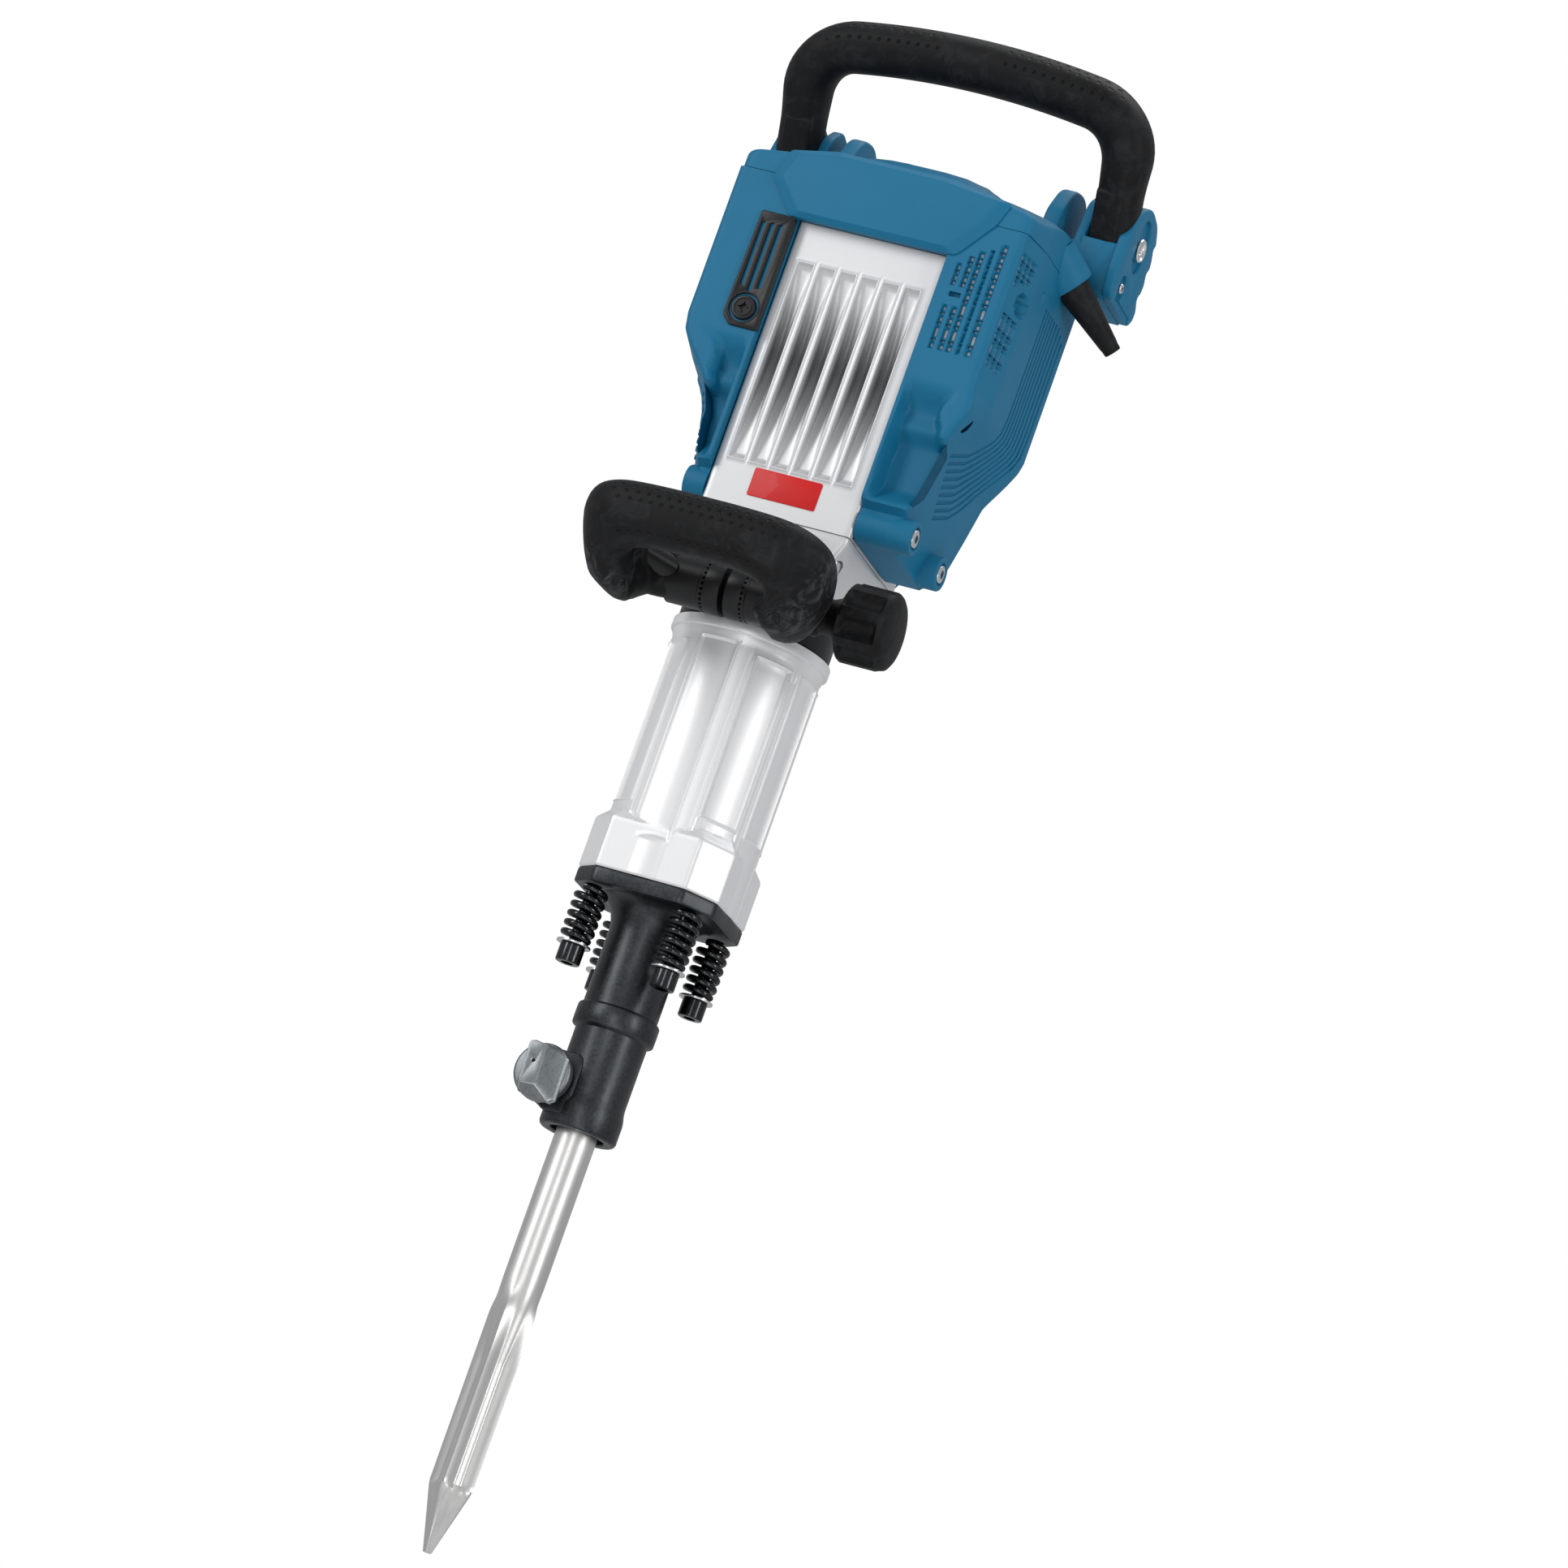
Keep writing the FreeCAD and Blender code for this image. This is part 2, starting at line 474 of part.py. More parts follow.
def gear_train():
    to_motor = math.degrees(math.atan2(mm.motor_height - middle_z, mm.motor_back - middle_y))
    to_crank = math.degrees(math.atan2(mm.crank_height - middle_z, -middle_y))
    involute_gear("intermediate_gear", mm.first_module, mm.first_teeth, mm.first_width,
                  mm.middle_shaft_radius, (first_stage, middle_y, middle_z), to_motor)
    involute_gear("motor_pinion", mm.first_module, mm.motor_teeth, mm.first_width + 1,
                  mm.pinion_shaft_radius, (first_stage - 0.5, mm.motor_back, mm.motor_height),
                  to_motor + 180 + 180 / mm.motor_teeth)
    involute_gear("intermediate_pinion", mm.second_module, mm.second_pinion_teeth, mm.second_width + 1,
                  mm.middle_shaft_radius, (second_stage - 0.5, middle_y, middle_z), to_crank)
    involute_gear("crank_gear", mm.second_module, mm.crank_teeth, mm.second_width,
                  mm.crank_shaft_radius, (second_stage, 0, mm.crank_height),
                  to_crank + 180 + 180 / mm.crank_teeth)
    keep(rod("middle_axle", "middle_shaft_radius", f"{first_stage + mm.first_width + 2 - plate_start}",
             (plate_start, middle_y, middle_z), "X"), "intermediate_shaft")


def bearing(name, outer, inner, x, y, z):
    return ring(name, outer, f"{inner} + fit / 2", "bearing_width", (x, y, z), "X")


def gear_plate():
    low = mm.case_bottom + mm.case_wall
    high = mm.case_top - mm.case_wall
    plate = block("plate_slab", ["gear_plate_thickness",
                                 f"{mm.case_back - mm.case_wall * 2 + mm.panel_front}",
                                 f"{high - low}"],
                  (plate_start, mm.case_wall - mm.panel_front, low))
    seats = [rod("seat_motor", "bearing_radius", "20", (plate_start - 5, mm.motor_back, mm.motor_height),
                 "X"),
             rod("seat_middle", "bearing_radius", "20", (plate_start - 5, middle_y, middle_z), "X"),
             rod("seat_crank", "crank_bearing_radius", "20", (plate_start - 5, 0, mm.crank_height), "X")]
    keep(carved("plate_solid", plate, seats), "bearing_plate")
    group("ball_bearings", [
        bearing("bearing_motor_rear", "bearing_radius", "motor_shaft_radius", shield_start,
                mm.motor_back, mm.motor_height),
        bearing("bearing_motor_front", "bearing_radius", "motor_shaft_radius", plate_start,
                mm.motor_back, mm.motor_height),
        bearing("bearing_middle", "bearing_radius", "middle_shaft_radius", plate_start, middle_y, middle_z),
        bearing("bearing_crank", "crank_bearing_radius", "crank_shaft_radius", plate_start, 0,
                mm.crank_height)])


# ---- motor --------------------------------------------------------------------------------------
def motor():
    y, z = mm.motor_back, mm.motor_height
    shaft = rod("motor_axle", "motor_shaft_radius", f"{first_stage - 1 - shield_start}",
                (shield_start, y, z), "X")
    nose = rod("motor_axle_nose", "pinion_shaft_radius", "first_width + 2", (first_stage - 1, y, z), "X")
    keep(joined("rotor_shaft_solid", [shaft, nose]), "rotor_shaft")
    keep(ring("core", "core_radius", "motor_shaft_radius", "core_length", (core_start, y, z), "X"),
         "rotor_core")
    keep(ring("commutator", "commutator_radius", "motor_shaft_radius", "commutator_length",
              (commutator_start, y, z), "X"), "commutator")
    keep(ring("stator", "stator_radius", "stator_bore", "stator_length", (core_start - 2, y, z), "X"),
         "stator")
    hub = rod("fan_hub", "fan_hub_radius", "fan_length", (fan_start, y, z), "X")
    disc = rod("fan_disc", "fan_radius", "2", (fan_start, y, z), "X")
    blades = []
    for k in range(mm.fan_blades):
        turn = Rotation(Vector(1, 0, 0), 360 * k / mm.fan_blades)
        root = turn.multVec(Vector(0, mm.fan_hub_radius - 1, -0.8))
        blades.append(block(f"fan_blade_{k}", ["fan_length", "fan_radius - fan_hub_radius", "1.6"],
                            (fan_start, y + root.y, z + root.z), turn))
    fan_bore = rod("fan_bore", "motor_shaft_radius", "fan_length * 2", (fan_start - 4, y, z), "X")
    keep(carved("fan_solid", joined("fan_body", [hub, disc] + blades), [fan_bore]), "cooling_fan")
    plate = rod("shield_disc", "shield_radius", "shield_thickness", (shield_start, y, z), "X")
    legs = []
    for side_y in (-1, 1):
        for side_z in (-1, 1):
            reach = mm.shield_radius * math.sqrt(0.5) - mm.shield_leg / 2 - 1
            legs.append(block(f"shield_leg_{side_y + 2 * side_z}", [f"{core_start - 2 - shield_start}",
                                                                 "shield_leg", "shield_leg"],
                              (shield_start, y + side_y * reach - mm.shield_leg / 2,
                               z + side_z * reach - mm.shield_leg / 2)))
    seat = rod("shield_seat", "bearing_radius", "30", (shield_start - 5, y, z), "X")
    keep(carved("shield_solid", joined("shield_body", [plate] + legs), [seat]), "motor_end_shield")
    brushes, holders = [], []
    middle = commutator_start + mm.commutator_length / 2
    for side in (-1, 1):
        near = y + side * (mm.commutator_radius + mm.fit)
        start = near if side > 0 else near - mm.brush_length
        brushes.append(block(f"brush_{side}", ["brush_width", "brush_length", "brush_height"],
                             (middle - mm.brush_width / 2, start, z - mm.brush_height / 2)))
        holder_start = near + 3 if side > 0 else near - 3 - mm.holder_length
        outer = block(f"holder_{side}", ["brush_width + holder_wall * 2", "holder_length",
                                         "brush_height + holder_wall * 2"],
                      (middle - mm.brush_width / 2 - mm.holder_wall, holder_start,
                       z - mm.brush_height / 2 - mm.holder_wall))
        inner = block(f"holder_slot_{side}", ["brush_width", "holder_length + 2", "brush_height"],
                      (middle - mm.brush_width / 2, holder_start - 1, z - mm.brush_height / 2))
        holders.append(carved(f"holder_solid_{side}", outer, [inner]))
    group("carbon_brushes", brushes)
    group("brush_holders", holders)


# ---- cast housings ------------------------------------------------------------------------------
def origin_plane(body, role):
    return next(item for item in body.Origin.OriginFeatures if item.Role == role)


def rectangle(body, role, name, low, high, offset):
    """A rectangle between two corners, on an origin plane moved along its normal."""
    sketch = body.newObject("Sketcher::SketchObject", name)
    sketch.AttachmentSupport = (origin_plane(body, role), [""])
    sketch.MapMode = "FlatFace"
    sketch.AttachmentOffset = Placement(Vector(0, 0, offset), Rotation())
    corners = [Vector(-1, -1, 0), Vector(1, -1, 0), Vector(1, 1, 0), Vector(-1, 1, 0)]
    sketch.addGeometry([Part.LineSegment(corners[k], corners[(k + 1) % 4]) for k in range(4)], False)
    for k in range(4):
        sketch.addConstraint(Sketcher.Constraint("Coincident", k, 2, (k + 1) % 4, 1))
        sketch.addConstraint(Sketcher.Constraint("Vertical" if k % 2 else "Horizontal", k))
    for corner, place in ((0, low), (2, high)):
        for kind, words, value in zip(("DistanceX", "DistanceY"), place,
                                      (corners[corner].x, corners[corner].y)):
            number = sketch.addConstraint(Sketcher.Constraint(kind, -1, 1, corner, 1, value))
            bind(sketch, f"Constraints[{number}]", words)
    return sketch


def motor_housing():
    body = doc.addObject("PartDesign::Body", "motor_housing_body")
    shell = body.newObject("PartDesign::Pad", "case_shell")
    shell.Profile = rectangle(body, "XZ_Plane", "case_outline", ("-panel_half", "case_bottom"),
                              ("panel_half", "case_top"), -mm.case_back)
    bind(shell, "Length", "case_back + panel_front")
    doc.recompute()
    upright = [f"Edge{k}" for k, edge in enumerate(shell.Shape.Edges, 1)
               if edge.BoundBox.ZLength > mm.case_wall and edge.BoundBox.YLength < 1]
    rounded = body.newObject("PartDesign::Fillet", "case_corners")
    rounded.Base = (shell, upright)
    bind(rounded, "Radius", "edge_round")
    room = body.newObject("PartDesign::Pocket", "case_room")
    room.Profile = rectangle(body, "YZ_Plane", "case_room_outline",
                             ("case_wall - panel_front", "case_bottom + case_wall"),
                             ("case_back - case_wall", "case_top - case_wall"), 0)
    room.Type = "ThroughAll"
    room.Midplane = True
    groove = body.newObject("PartDesign::Pocket", "panel_groove")
    groove.Profile = rectangle(body, "XZ_Plane", "groove_outline", ("-groove_left", "groove_bottom"),
                               ("groove_width - groove_left", "groove_bottom + groove_height"),
                               mm.panel_front)
    bind(groove, "Length", "groove_depth")
    doc.recompute()
    rows = body.newObject("PartDesign::LinearPattern", "panel_grooves")
    rows.Originals = [groove]
    rows.Direction = (groove.Profile[0], ["H_Axis"])
    bind(rows, "Length", "groove_pitch * 5")
    rows.Occurrences = 6
    body.Tip = rows
    holes = [rod("case_rod_hole", "neck_bore", "20", (0, 0, mm.case_bottom - 5))]
    holes += [rod(f"case_thread_{k}", "case_screw_radius + 0.03", "20", (x, y, mm.case_bottom - 5))
              for k, (x, y) in enumerate(case_screw_places())]
    keep(carved("motor_housing_solid", body, holes), "motor_housing")


def case_screw_places():
    return [(x, y) for x in (-mm.case_screw_x, mm.case_screw_x)
            for y in (-mm.case_screw_front, mm.case_screw_back)]


def gear_case():
    body = doc.addObject("PartDesign::Body", "lower_housing_body")
    slab = body.newObject("PartDesign::Pad", "gearcase_slab")
    slab.Profile = rectangle(body, "XY_Plane", "gearcase_top", ("-panel_half", "-panel_front"),
                             ("panel_half", "case_back"), mm.gearcase_knee)
    bind(slab, "Length", "case_bottom - gearcase_knee")
    skirt = body.newObject("PartDesign::AdditiveLoft", "gearcase_skirt")
    skirt.Profile = rectangle(body, "XY_Plane", "gearcase_knee_outline", ("-panel_half", "-panel_front"),
                              ("panel_half", "case_back"), mm.gearcase_knee)
    skirt.Sections = [rectangle(body, "XY_Plane", "gearcase_foot_outline",
                                ("-gearcase_half", "-gearcase_front"),
                                ("gearcase_half", "gearcase_back"), mm.gearcase_bottom)]
    doc.recompute()
    upright = [f"Edge{k}" for k, edge in enumerate(skirt.Shape.Edges, 1)
               if edge.BoundBox.ZLength > mm.case_bottom - mm.gearcase_knee - 1
               and edge.BoundBox.YLength < 1]
    rounded = body.newObject("PartDesign::Fillet", "gearcase_corners")
    rounded.Base = (skirt, upright)
    bind(rounded, "Radius", "edge_round")
    tools = [rod("gearcase_bore", "neck_bore", "60", (0, 0, mm.gearcase_bottom - 5))]
    for k, (x, y) in enumerate(case_screw_places()):
        tools.append(rod(f"gearcase_pocket_{k}", "case_screw_pocket",
                         "case_screw_bottom + case_screw_head_length - gearcase_bottom + 5",
                         (x, y, mm.gearcase_bottom - 5)))
        tools.append(rod(f"gearcase_hole_{k}", "case_screw_radius + fit", "60",
                         (x, y, mm.gearcase_bottom - 5)))
    keep(carved("lower_housing_solid", body, tools), "lower_housing")
    screws = []
    for k, (x, y) in enumerate(case_screw_places()):
        head = rod(f"case_screw_head_{k}", "case_screw_head", "case_screw_head_length",
                   (x, y, mm.case_screw_bottom))
        socket = hexagon(f"case_screw_socket_{k}", "8", "7", mm.case_screw_bottom - 1)
        socket.Placement.Base = Vector(x, y, mm.case_screw_bottom - 1)
        shank = rod(f"case_screw_shank_{k}", "case_screw_radius", "case_screw_length + 4",
                    (x, y, mm.case_screw_bottom + mm.case_screw_head_length))
        screws.append(carved(f"case_screw_{k}", joined(f"case_screw_body_{k}", [head, shank]), [socket]))
    group("housing_screws", screws)


# ---- plastic covers -----------------------------------------------------------------------------
cover_edge = "panel_half + gap"
cover_profile = [(cover_edge, "cover_bottom"), ("cover_foot", "cover_bottom"),
                 ("cover_waist", "cover_waist_height"), ("cover_half", "cover_step"),
                 ("cover_half", "cover_top"), (cover_edge, "cover_top")]
cover_room = [(cover_edge + " - 5", "cover_bottom + cover_wall"),
              ("cover_foot - cover_wall", "cover_bottom + cover_wall"),
              ("cover_waist - cover_wall - 0.5", "cover_waist_height"),
              ("cover_half - cover_wall", "cover_step + 1"),
              ("cover_half - cover_wall", "cover_top + 5"), (cover_edge + " - 5", "cover_top + 5")]


def mirrored(corners, side):
    return corners if side > 0 else [(f"-({across})", up) for across, up in corners]


def across(side, low, length):
    """Low corner in X of a block that starts at low and is mirrored for the left side."""
    return low if side > 0 else -low - length


def side_cover(side, name):
    outer = prism(name + "_outer", mirrored(cover_profile, side), "cover_front + cover_back",
                  (0, mm.cover_back, 0), front_plane)
    inner = prism(name + "_room", mirrored(cover_room, side), "cover_front + cover_back - cover_wall * 2",
                  (0, mm.cover_back - mm.cover_wall, 0), front_plane)
    scoop_size = mm.scoop_right - mm.scoop_left
    scoop = block(name + "_scoop", ["scoop_right - scoop_left", "scoop_depth", "cover_step - scoop_bottom"],
                  (across(side, mm.scoop_left, scoop_size), -mm.cover_front, mm.scoop_bottom))
    floor = block(name + "_scoop_floor", ["scoop_right - scoop_left + cover_wall * 2",
                                          "scoop_depth + cover_wall",
                                          "cover_step - scoop_bottom + cover_wall * 2"],
                  (across(side, mm.scoop_left - mm.cover_wall, scoop_size + 2 * mm.cover_wall),
                   -mm.cover_front, mm.scoop_bottom - mm.cover_wall))
    floor_part = doc.addObject("Part::Common", name + "_scoop_wall")
    floor_part.Base = floor
    floor_part.Tool = outer
    shell = joined(name + "_shell", [carved(name + "_hollow", outer, [inner]), floor_part])
    lugs, holes = [], []
    lug_length = mm.lug_end - mm.panel_half - mm.gap
    start = across(side, mm.panel_half + mm.gap, lug_length)
    for k, y in enumerate((mm.lug_front, mm.lug_back)):
        lugs.append(rod(f"{name}_lug_{k}", "lug_radius", "lug_end - panel_half - gap",
                        (start, y, mm.lug_height), "X"))
        holes.append(rod(f"{name}_lug_hole_{k}", "lug_screw_radius + fit", "lug_screw_length",
                         (across(side, mm.lug_end - mm.lug_screw_length, mm.lug_screw_length), y,
                          mm.lug_height), "X"))
    tools = [scoop] + holes
    if side > 0:
        tools.append(sleeve_rod(name + "_sleeve_hole", "sleeve_base + gap", "30", -10))
    if side < 0:
        tools.append(block(name + "_brush_window", ["brush_cover_width + gap * 2", "200",
                                                    "brush_cover_height + gap * 2"],
                           (mm.brush_cover_left - mm.gap, -100, mm.brush_cover_bottom - mm.gap)))
    keep(carved(name + "_solid", joined(name + "_body", [shell] + lugs), tools), name)


def cover_screws():
    screws = []
    for side in (-1, 1):
        for y in (mm.lug_front, mm.lug_back):
            start = across(side, mm.lug_end - mm.lug_screw_length, mm.lug_screw_length + 1)
            head = rod(f"cover_screw_rod_{side}_{y}", "lug_screw_radius", "lug_screw_length + 1",
                       (start, y, mm.lug_height), "X")
            socket_start = across(side, mm.lug_end - 2, 6)
            socket = rod(f"cover_screw_socket_{side}_{y}", "2.4", "6", (socket_start, y, mm.lug_height), "X")
            screws.append(carved(f"cover_screw_{side}_{y}", head, [socket]))
    group("cover_screws", screws)


def top_cap():
    profile = [("-cap_front", "cover_top + gap"), ("cover_back", "cover_top + gap"),
               ("cover_back", "cover_top + deck"), ("cap_back", "cover_top + deck"),
               ("cap_back - 2", "cap_top - 8"), ("cap_back - 12", "cap_top"), ("-20", "cap_top - 3"),
               ("-cap_front", "cap_front_top")]
    room = [("-cap_front + cap_wall", "cover_top - 5"), ("cap_back - 4", "cover_top - 5"),
            ("cap_back - 6", "cap_top - 12"), ("cap_back - 15", "cap_top - cap_wall"),
            ("-20", "cap_top - cap_wall - 3"), ("-cap_front + cap_wall", "cap_front_top - cap_wall")]
    outer = prism("cap_outer", profile, "cover_half * 2", (-mm.cover_half, 0, 0), side_plane)
    inner = prism("cap_room", room, "cap_room_half * 2", (-mm.cap_room_half, 0, 0), side_plane)
    bevels = []
    for side in (-1, 1):
        corners = [("cover_half + 5", "cap_top - 22"), ("cover_half + 5", "cap_top + 5"),
                   ("cover_half - 20", "cap_top + 5")]
        bevels.append(prism(f"cap_bevel_{side + 1}", mirrored(corners, side), "200", (0, 100, 0),
                            front_plane))
    badge = prism("cap_badge", [("-badge_low_half", "badge_bottom"), ("badge_low_half", "badge_bottom"),
                                ("badge_high_half", "cover_top + 4"), ("-badge_high_half", "cover_top + 4")],
                  "cap_front - panel_front - gap", (0, -mm.panel_front - mm.gap, 0), front_plane)
    clearance = [prism(f"cap_cover_gap_{side + 1}",
                       mirrored([("panel_half", "badge_bottom - 5"), ("panel_half + 30", "badge_bottom - 5"),
                                 ("panel_half + 30", "cover_top + gap"), ("panel_half", "cover_top + gap")],
                                side), "20", (0, -30, 0), front_plane) for side in (-1, 1)]
    shell = carved("cap_shell", outer, [inner] + bevels)
    trimmed = carved("cap_badge_solid", badge, clearance)
    sleeve = sleeve_rod("cap_sleeve_hole", "sleeve_base + gap", "30", -10)
    switch_hole = block("cap_switch_hole", ["switch_width + gap * 2", "switch_length + gap * 2", "40"],
                        (-mm.switch_width / 2 - mm.gap, switch_back - mm.gap, mm.cap_top - 20))
    keep(carved("top_cap_solid", joined("cap_body", [shell, trimmed]), [sleeve, switch_hole]), "top_cap")


def rear_cover():
    plate = block("rear_plate", ["panel_half * 2", "rear_cover_thickness", "cap_top - cover_bottom - 2"],
                  (-mm.panel_half, mm.cover_back + 0.2, mm.cover_bottom))
    slots = [block(f"rear_slot_{k}", ["70", "10", "4"], (-35, mm.cover_back - 2, 480 + 12 * k))
             for k in range(7)]
    keep(carved("rear_cover_solid", plate, slots), "rear_cover")


def brush_covers():
    for side, name in ((-1, "front_brush_cover"), (1, "rear_brush_cover")):
        outer_face = -mm.cover_front - 1.5 if side < 0 else mm.cover_back + 1.5
        start = outer_face if side < 0 else outer_face - mm.brush_cover_thickness
        plate = block(name + "_plate", ["brush_cover_width", "brush_cover_thickness", "brush_cover_height"],
                      (mm.brush_cover_left, start, mm.brush_cover_bottom))
        grooves = [block(f"{name}_groove_{k}", ["3", "3", "46"],
                         (mm.brush_cover_left + 4.5 + 6.5 * k, outer_face - 1.5, mm.brush_cover_bottom + 27))
                   for k in range(3)]
        seat_start = outer_face - 1 if side < 0 else outer_face - mm.brush_screw_length
        seat = rod(name + "_seat", "brush_screw_radius + fit", "brush_screw_length + 1",
                   (brush_middle, seat_start, mm.brush_screw_height), "Y")
        keep(carved(name + "_solid", plate, grooves + [seat]), name)


def brush_cover_screws():
    screws = []
    for side in (-1, 1):
        outer_face = -mm.cover_front - 1.5 if side < 0 else mm.cover_back + 1.5
        start = outer_face - 0.5 if side < 0 else outer_face - mm.brush_screw_length
        disc = rod(f"brush_screw_disc_{side + 1}", "brush_screw_radius", "brush_screw_length + 0.5",
                   (brush_middle, start, mm.brush_screw_height), "Y")
        slot = block(f"brush_screw_slot_{side + 1}", ["12", "3", "2.4"],
                     (brush_middle - 6, outer_face - 1.5, mm.brush_screw_height - 1.2))
        screws.append(carved(f"brush_screw_{side + 1}", disc, [slot]))
    group("brush_cover_screws", screws)


brush_middle = mm.brush_cover_left + mm.brush_cover_width / 2
switch_back = 22
rocker_y = switch_back + mm.switch_length / 2
rocker_z = mm.cap_top - 1.5


def label_and_switch():
    keep(block("label_plate", ["label_width", "label_thickness", "label_height"],
               (-mm.label_width / 2, -mm.panel_front - mm.label_thickness, mm.label_bottom)), "info_label")
    frame = block("switch_frame_block", ["switch_width", "switch_length", "switch_plate + 8"],
                  (-mm.switch_width / 2, switch_back, mm.cap_top - 11))
    well = block("switch_well", ["switch_width - 4", "switch_length - 4", "20"],
                 (2 - mm.switch_width / 2, switch_back + 2, mm.cap_top - 9))
    keep(carved("switch_frame_solid", frame, [well]), "switch_frame")
    rocker = block("rocker_block", ["switch_width - 5", "switch_length - 9", "7"],
                   (2.5 - mm.switch_width / 2, switch_back + 4.5, mm.cap_top - 5))
    rocker.Placement = Placement(Vector(), Rotation(Vector(1, 0, 0), -mm.rocker_tilt),
                                 Vector(0, rocker_y, rocker_z)) * rocker.Placement
    keep(rocker, "switch_rocker")


# ---- cable sleeve -------------------------------------------------------------------------------
sleeve_run = Vector(0.637, 0.527, -0.564).normalize()
sleeve_turn = Rotation(Vector(0, 0, 1), sleeve_run)


def sleeve_rod(name, radius, length, start):
    base = Vector(mm.sleeve_x, mm.sleeve_y, mm.sleeve_z) + sleeve_run * start
    return rod(name, radius, length, base, sleeve_turn)


def cable_sleeve():
    base = (mm.sleeve_x, mm.sleeve_y, mm.sleeve_z)
    cone = taper("sleeve_cone", "sleeve_base", "sleeve_tip", "sleeve_length", base, sleeve_turn)
    collar = sleeve_rod("sleeve_collar", "sleeve_base", "6", -6)
    bore = sleeve_rod("sleeve_bore_rod", "sleeve_bore", "90", -20)
    keep(carved("sleeve_solid", joined("sleeve_body", [cone, collar]), [bore]), "cable_sleeve")


# ---- main handle --------------------------------------------------------------------------------
lean = Vector(0, mm.lean_y, mm.lean_z)


def on_arch(across_x, up):
    """A point of the handle's leaning plane: across in X, up along the lean from the bar's middle."""
    return Vector(across_x, mm.bar_y, mm.bar_z) + lean * up


def arch_path(foot):
    """Leg, rounded corner, gently arched bar, corner, leg: all tangent, in one leaning plane."""
    reach = mm.grip_half - mm.corner_radius
    centre_up = math.sqrt((mm.arch_radius - mm.corner_radius) ** 2 - reach ** 2) - mm.arch_radius
    slope = math.asin(reach / (mm.arch_radius - mm.corner_radius))
    touch = (mm.arch_radius * math.sin(slope), mm.arch_radius * (math.cos(slope) - 1))
    half_turn = (math.pi / 2 + slope) / 2
    middle = (reach + mm.corner_radius * math.sin(half_turn),
              centre_up + mm.corner_radius * math.cos(half_turn))
    left = [on_arch(-mm.grip_half, centre_up), on_arch(-middle[0], middle[1]), on_arch(-touch[0], touch[1])]
    right = [on_arch(touch[0], touch[1]), on_arch(middle[0], middle[1]), on_arch(mm.grip_half, centre_up)]
    return Part.Wire([
        Part.LineSegment(on_arch(-mm.grip_half, -foot), left[0]).toShape(),
        Part.Arc(*left).toShape(),
        Part.Arc(left[2], on_arch(0, 0), right[0]).toShape(),
        Part.Arc(*right).toShape(),
        Part.LineSegment(right[2], on_arch(mm.grip_half, -foot)).toShape(),
    ])


def pipe(path, radius, name):
    start = path.Edges[0]
    tangent = start.tangentAt(start.FirstParameter)
    circle = Part.Circle(start.valueAt(start.FirstParameter), tangent, radius)
    item = doc.addObject("Part::Feature", name)
    item.Shape = path.makePipeShell([Part.Wire([circle.toShape()])], True, False)
    return item


def main_handle():
    tube = pipe(arch_path(mm.leg_drop), mm.core_tube, "handle_tube")
    outer = pipe(arch_path(mm.leg_drop), mm.grip_radius, "handle_outer")
    hollow = pipe(arch_path(mm.leg_drop + 1), mm.core_tube + mm.gap, "handle_hollow")
    turn = Rotation(Vector(1, 0, 0), math.degrees(math.atan2(-mm.lean_y, mm.lean_z)))
    heel = turn.multVec(Vector(0, mm.leg_depth / 2, 0))
    feet, tongues = [], []
    for side in (-1, 1):
        foot = on_arch(side * mm.grip_half, -mm.leg_end)
        corner = (across(side, mm.fork_inner + 1, mm.leg_width), foot.y - heel.y, foot.z - heel.z)
        feet.append(block(f"grip_foot_{side + 1}", ["leg_width", "leg_depth", "leg_foot + 1"], corner, turn))
        start = across(side, mm.fork_inner + 2, mm.tongue_width)
        eye = rod(f"tongue_eye_{side + 1}", "tongue_radius", "tongue_width",
                  (start, mm.pivot_y, mm.pivot_z), "X")
        link = prism(f"tongue_link_{side + 1}",
                     [("pivot_y - 24", "pivot_z + 27"), ("pivot_y - 36", "pivot_z + 19"),
                      ("pivot_y - 20", "pivot_z - 5"), ("pivot_y", "pivot_z - 12"),
                      ("pivot_y + 6", "pivot_z + 12"), ("pivot_y - 8", "pivot_z + 23")],
                     "tongue_width", (start, 0, 0), side_plane)
        lever = block(f"tongue_lever_{side + 1}", ["tongue_width", "lever_depth", "lever_length"],
                      (start, mm.pivot_y - mm.lever_depth / 2, mm.pivot_z - mm.lever_length))
        stub_base = on_arch(side * mm.grip_half, -mm.leg_drop - 10)
        stub = rod(f"tongue_stub_{side + 1}", "core_tube - 3", "16",
                   (across(side, mm.grip_half - 3, 0), stub_base.y, stub_base.z),
                   Rotation(Vector(0, 0, 1), lean))
        tongues += [eye, link, lever, stub]
    bores = [rod("tongue_bores", "bolt_radius + fit", "300", (-150, mm.pivot_y, mm.pivot_z), "X")]
    core = carved("handle_core_solid", joined("handle_core_body", [tube] + tongues), bores)
    keep(core, "main_handle_core")
    room = joined("grip_room", [hollow] + tongues)
    keep(carved("handle_grip_solid", joined("handle_grip_body", [outer] + feet), [room]), "main_handle_grip")


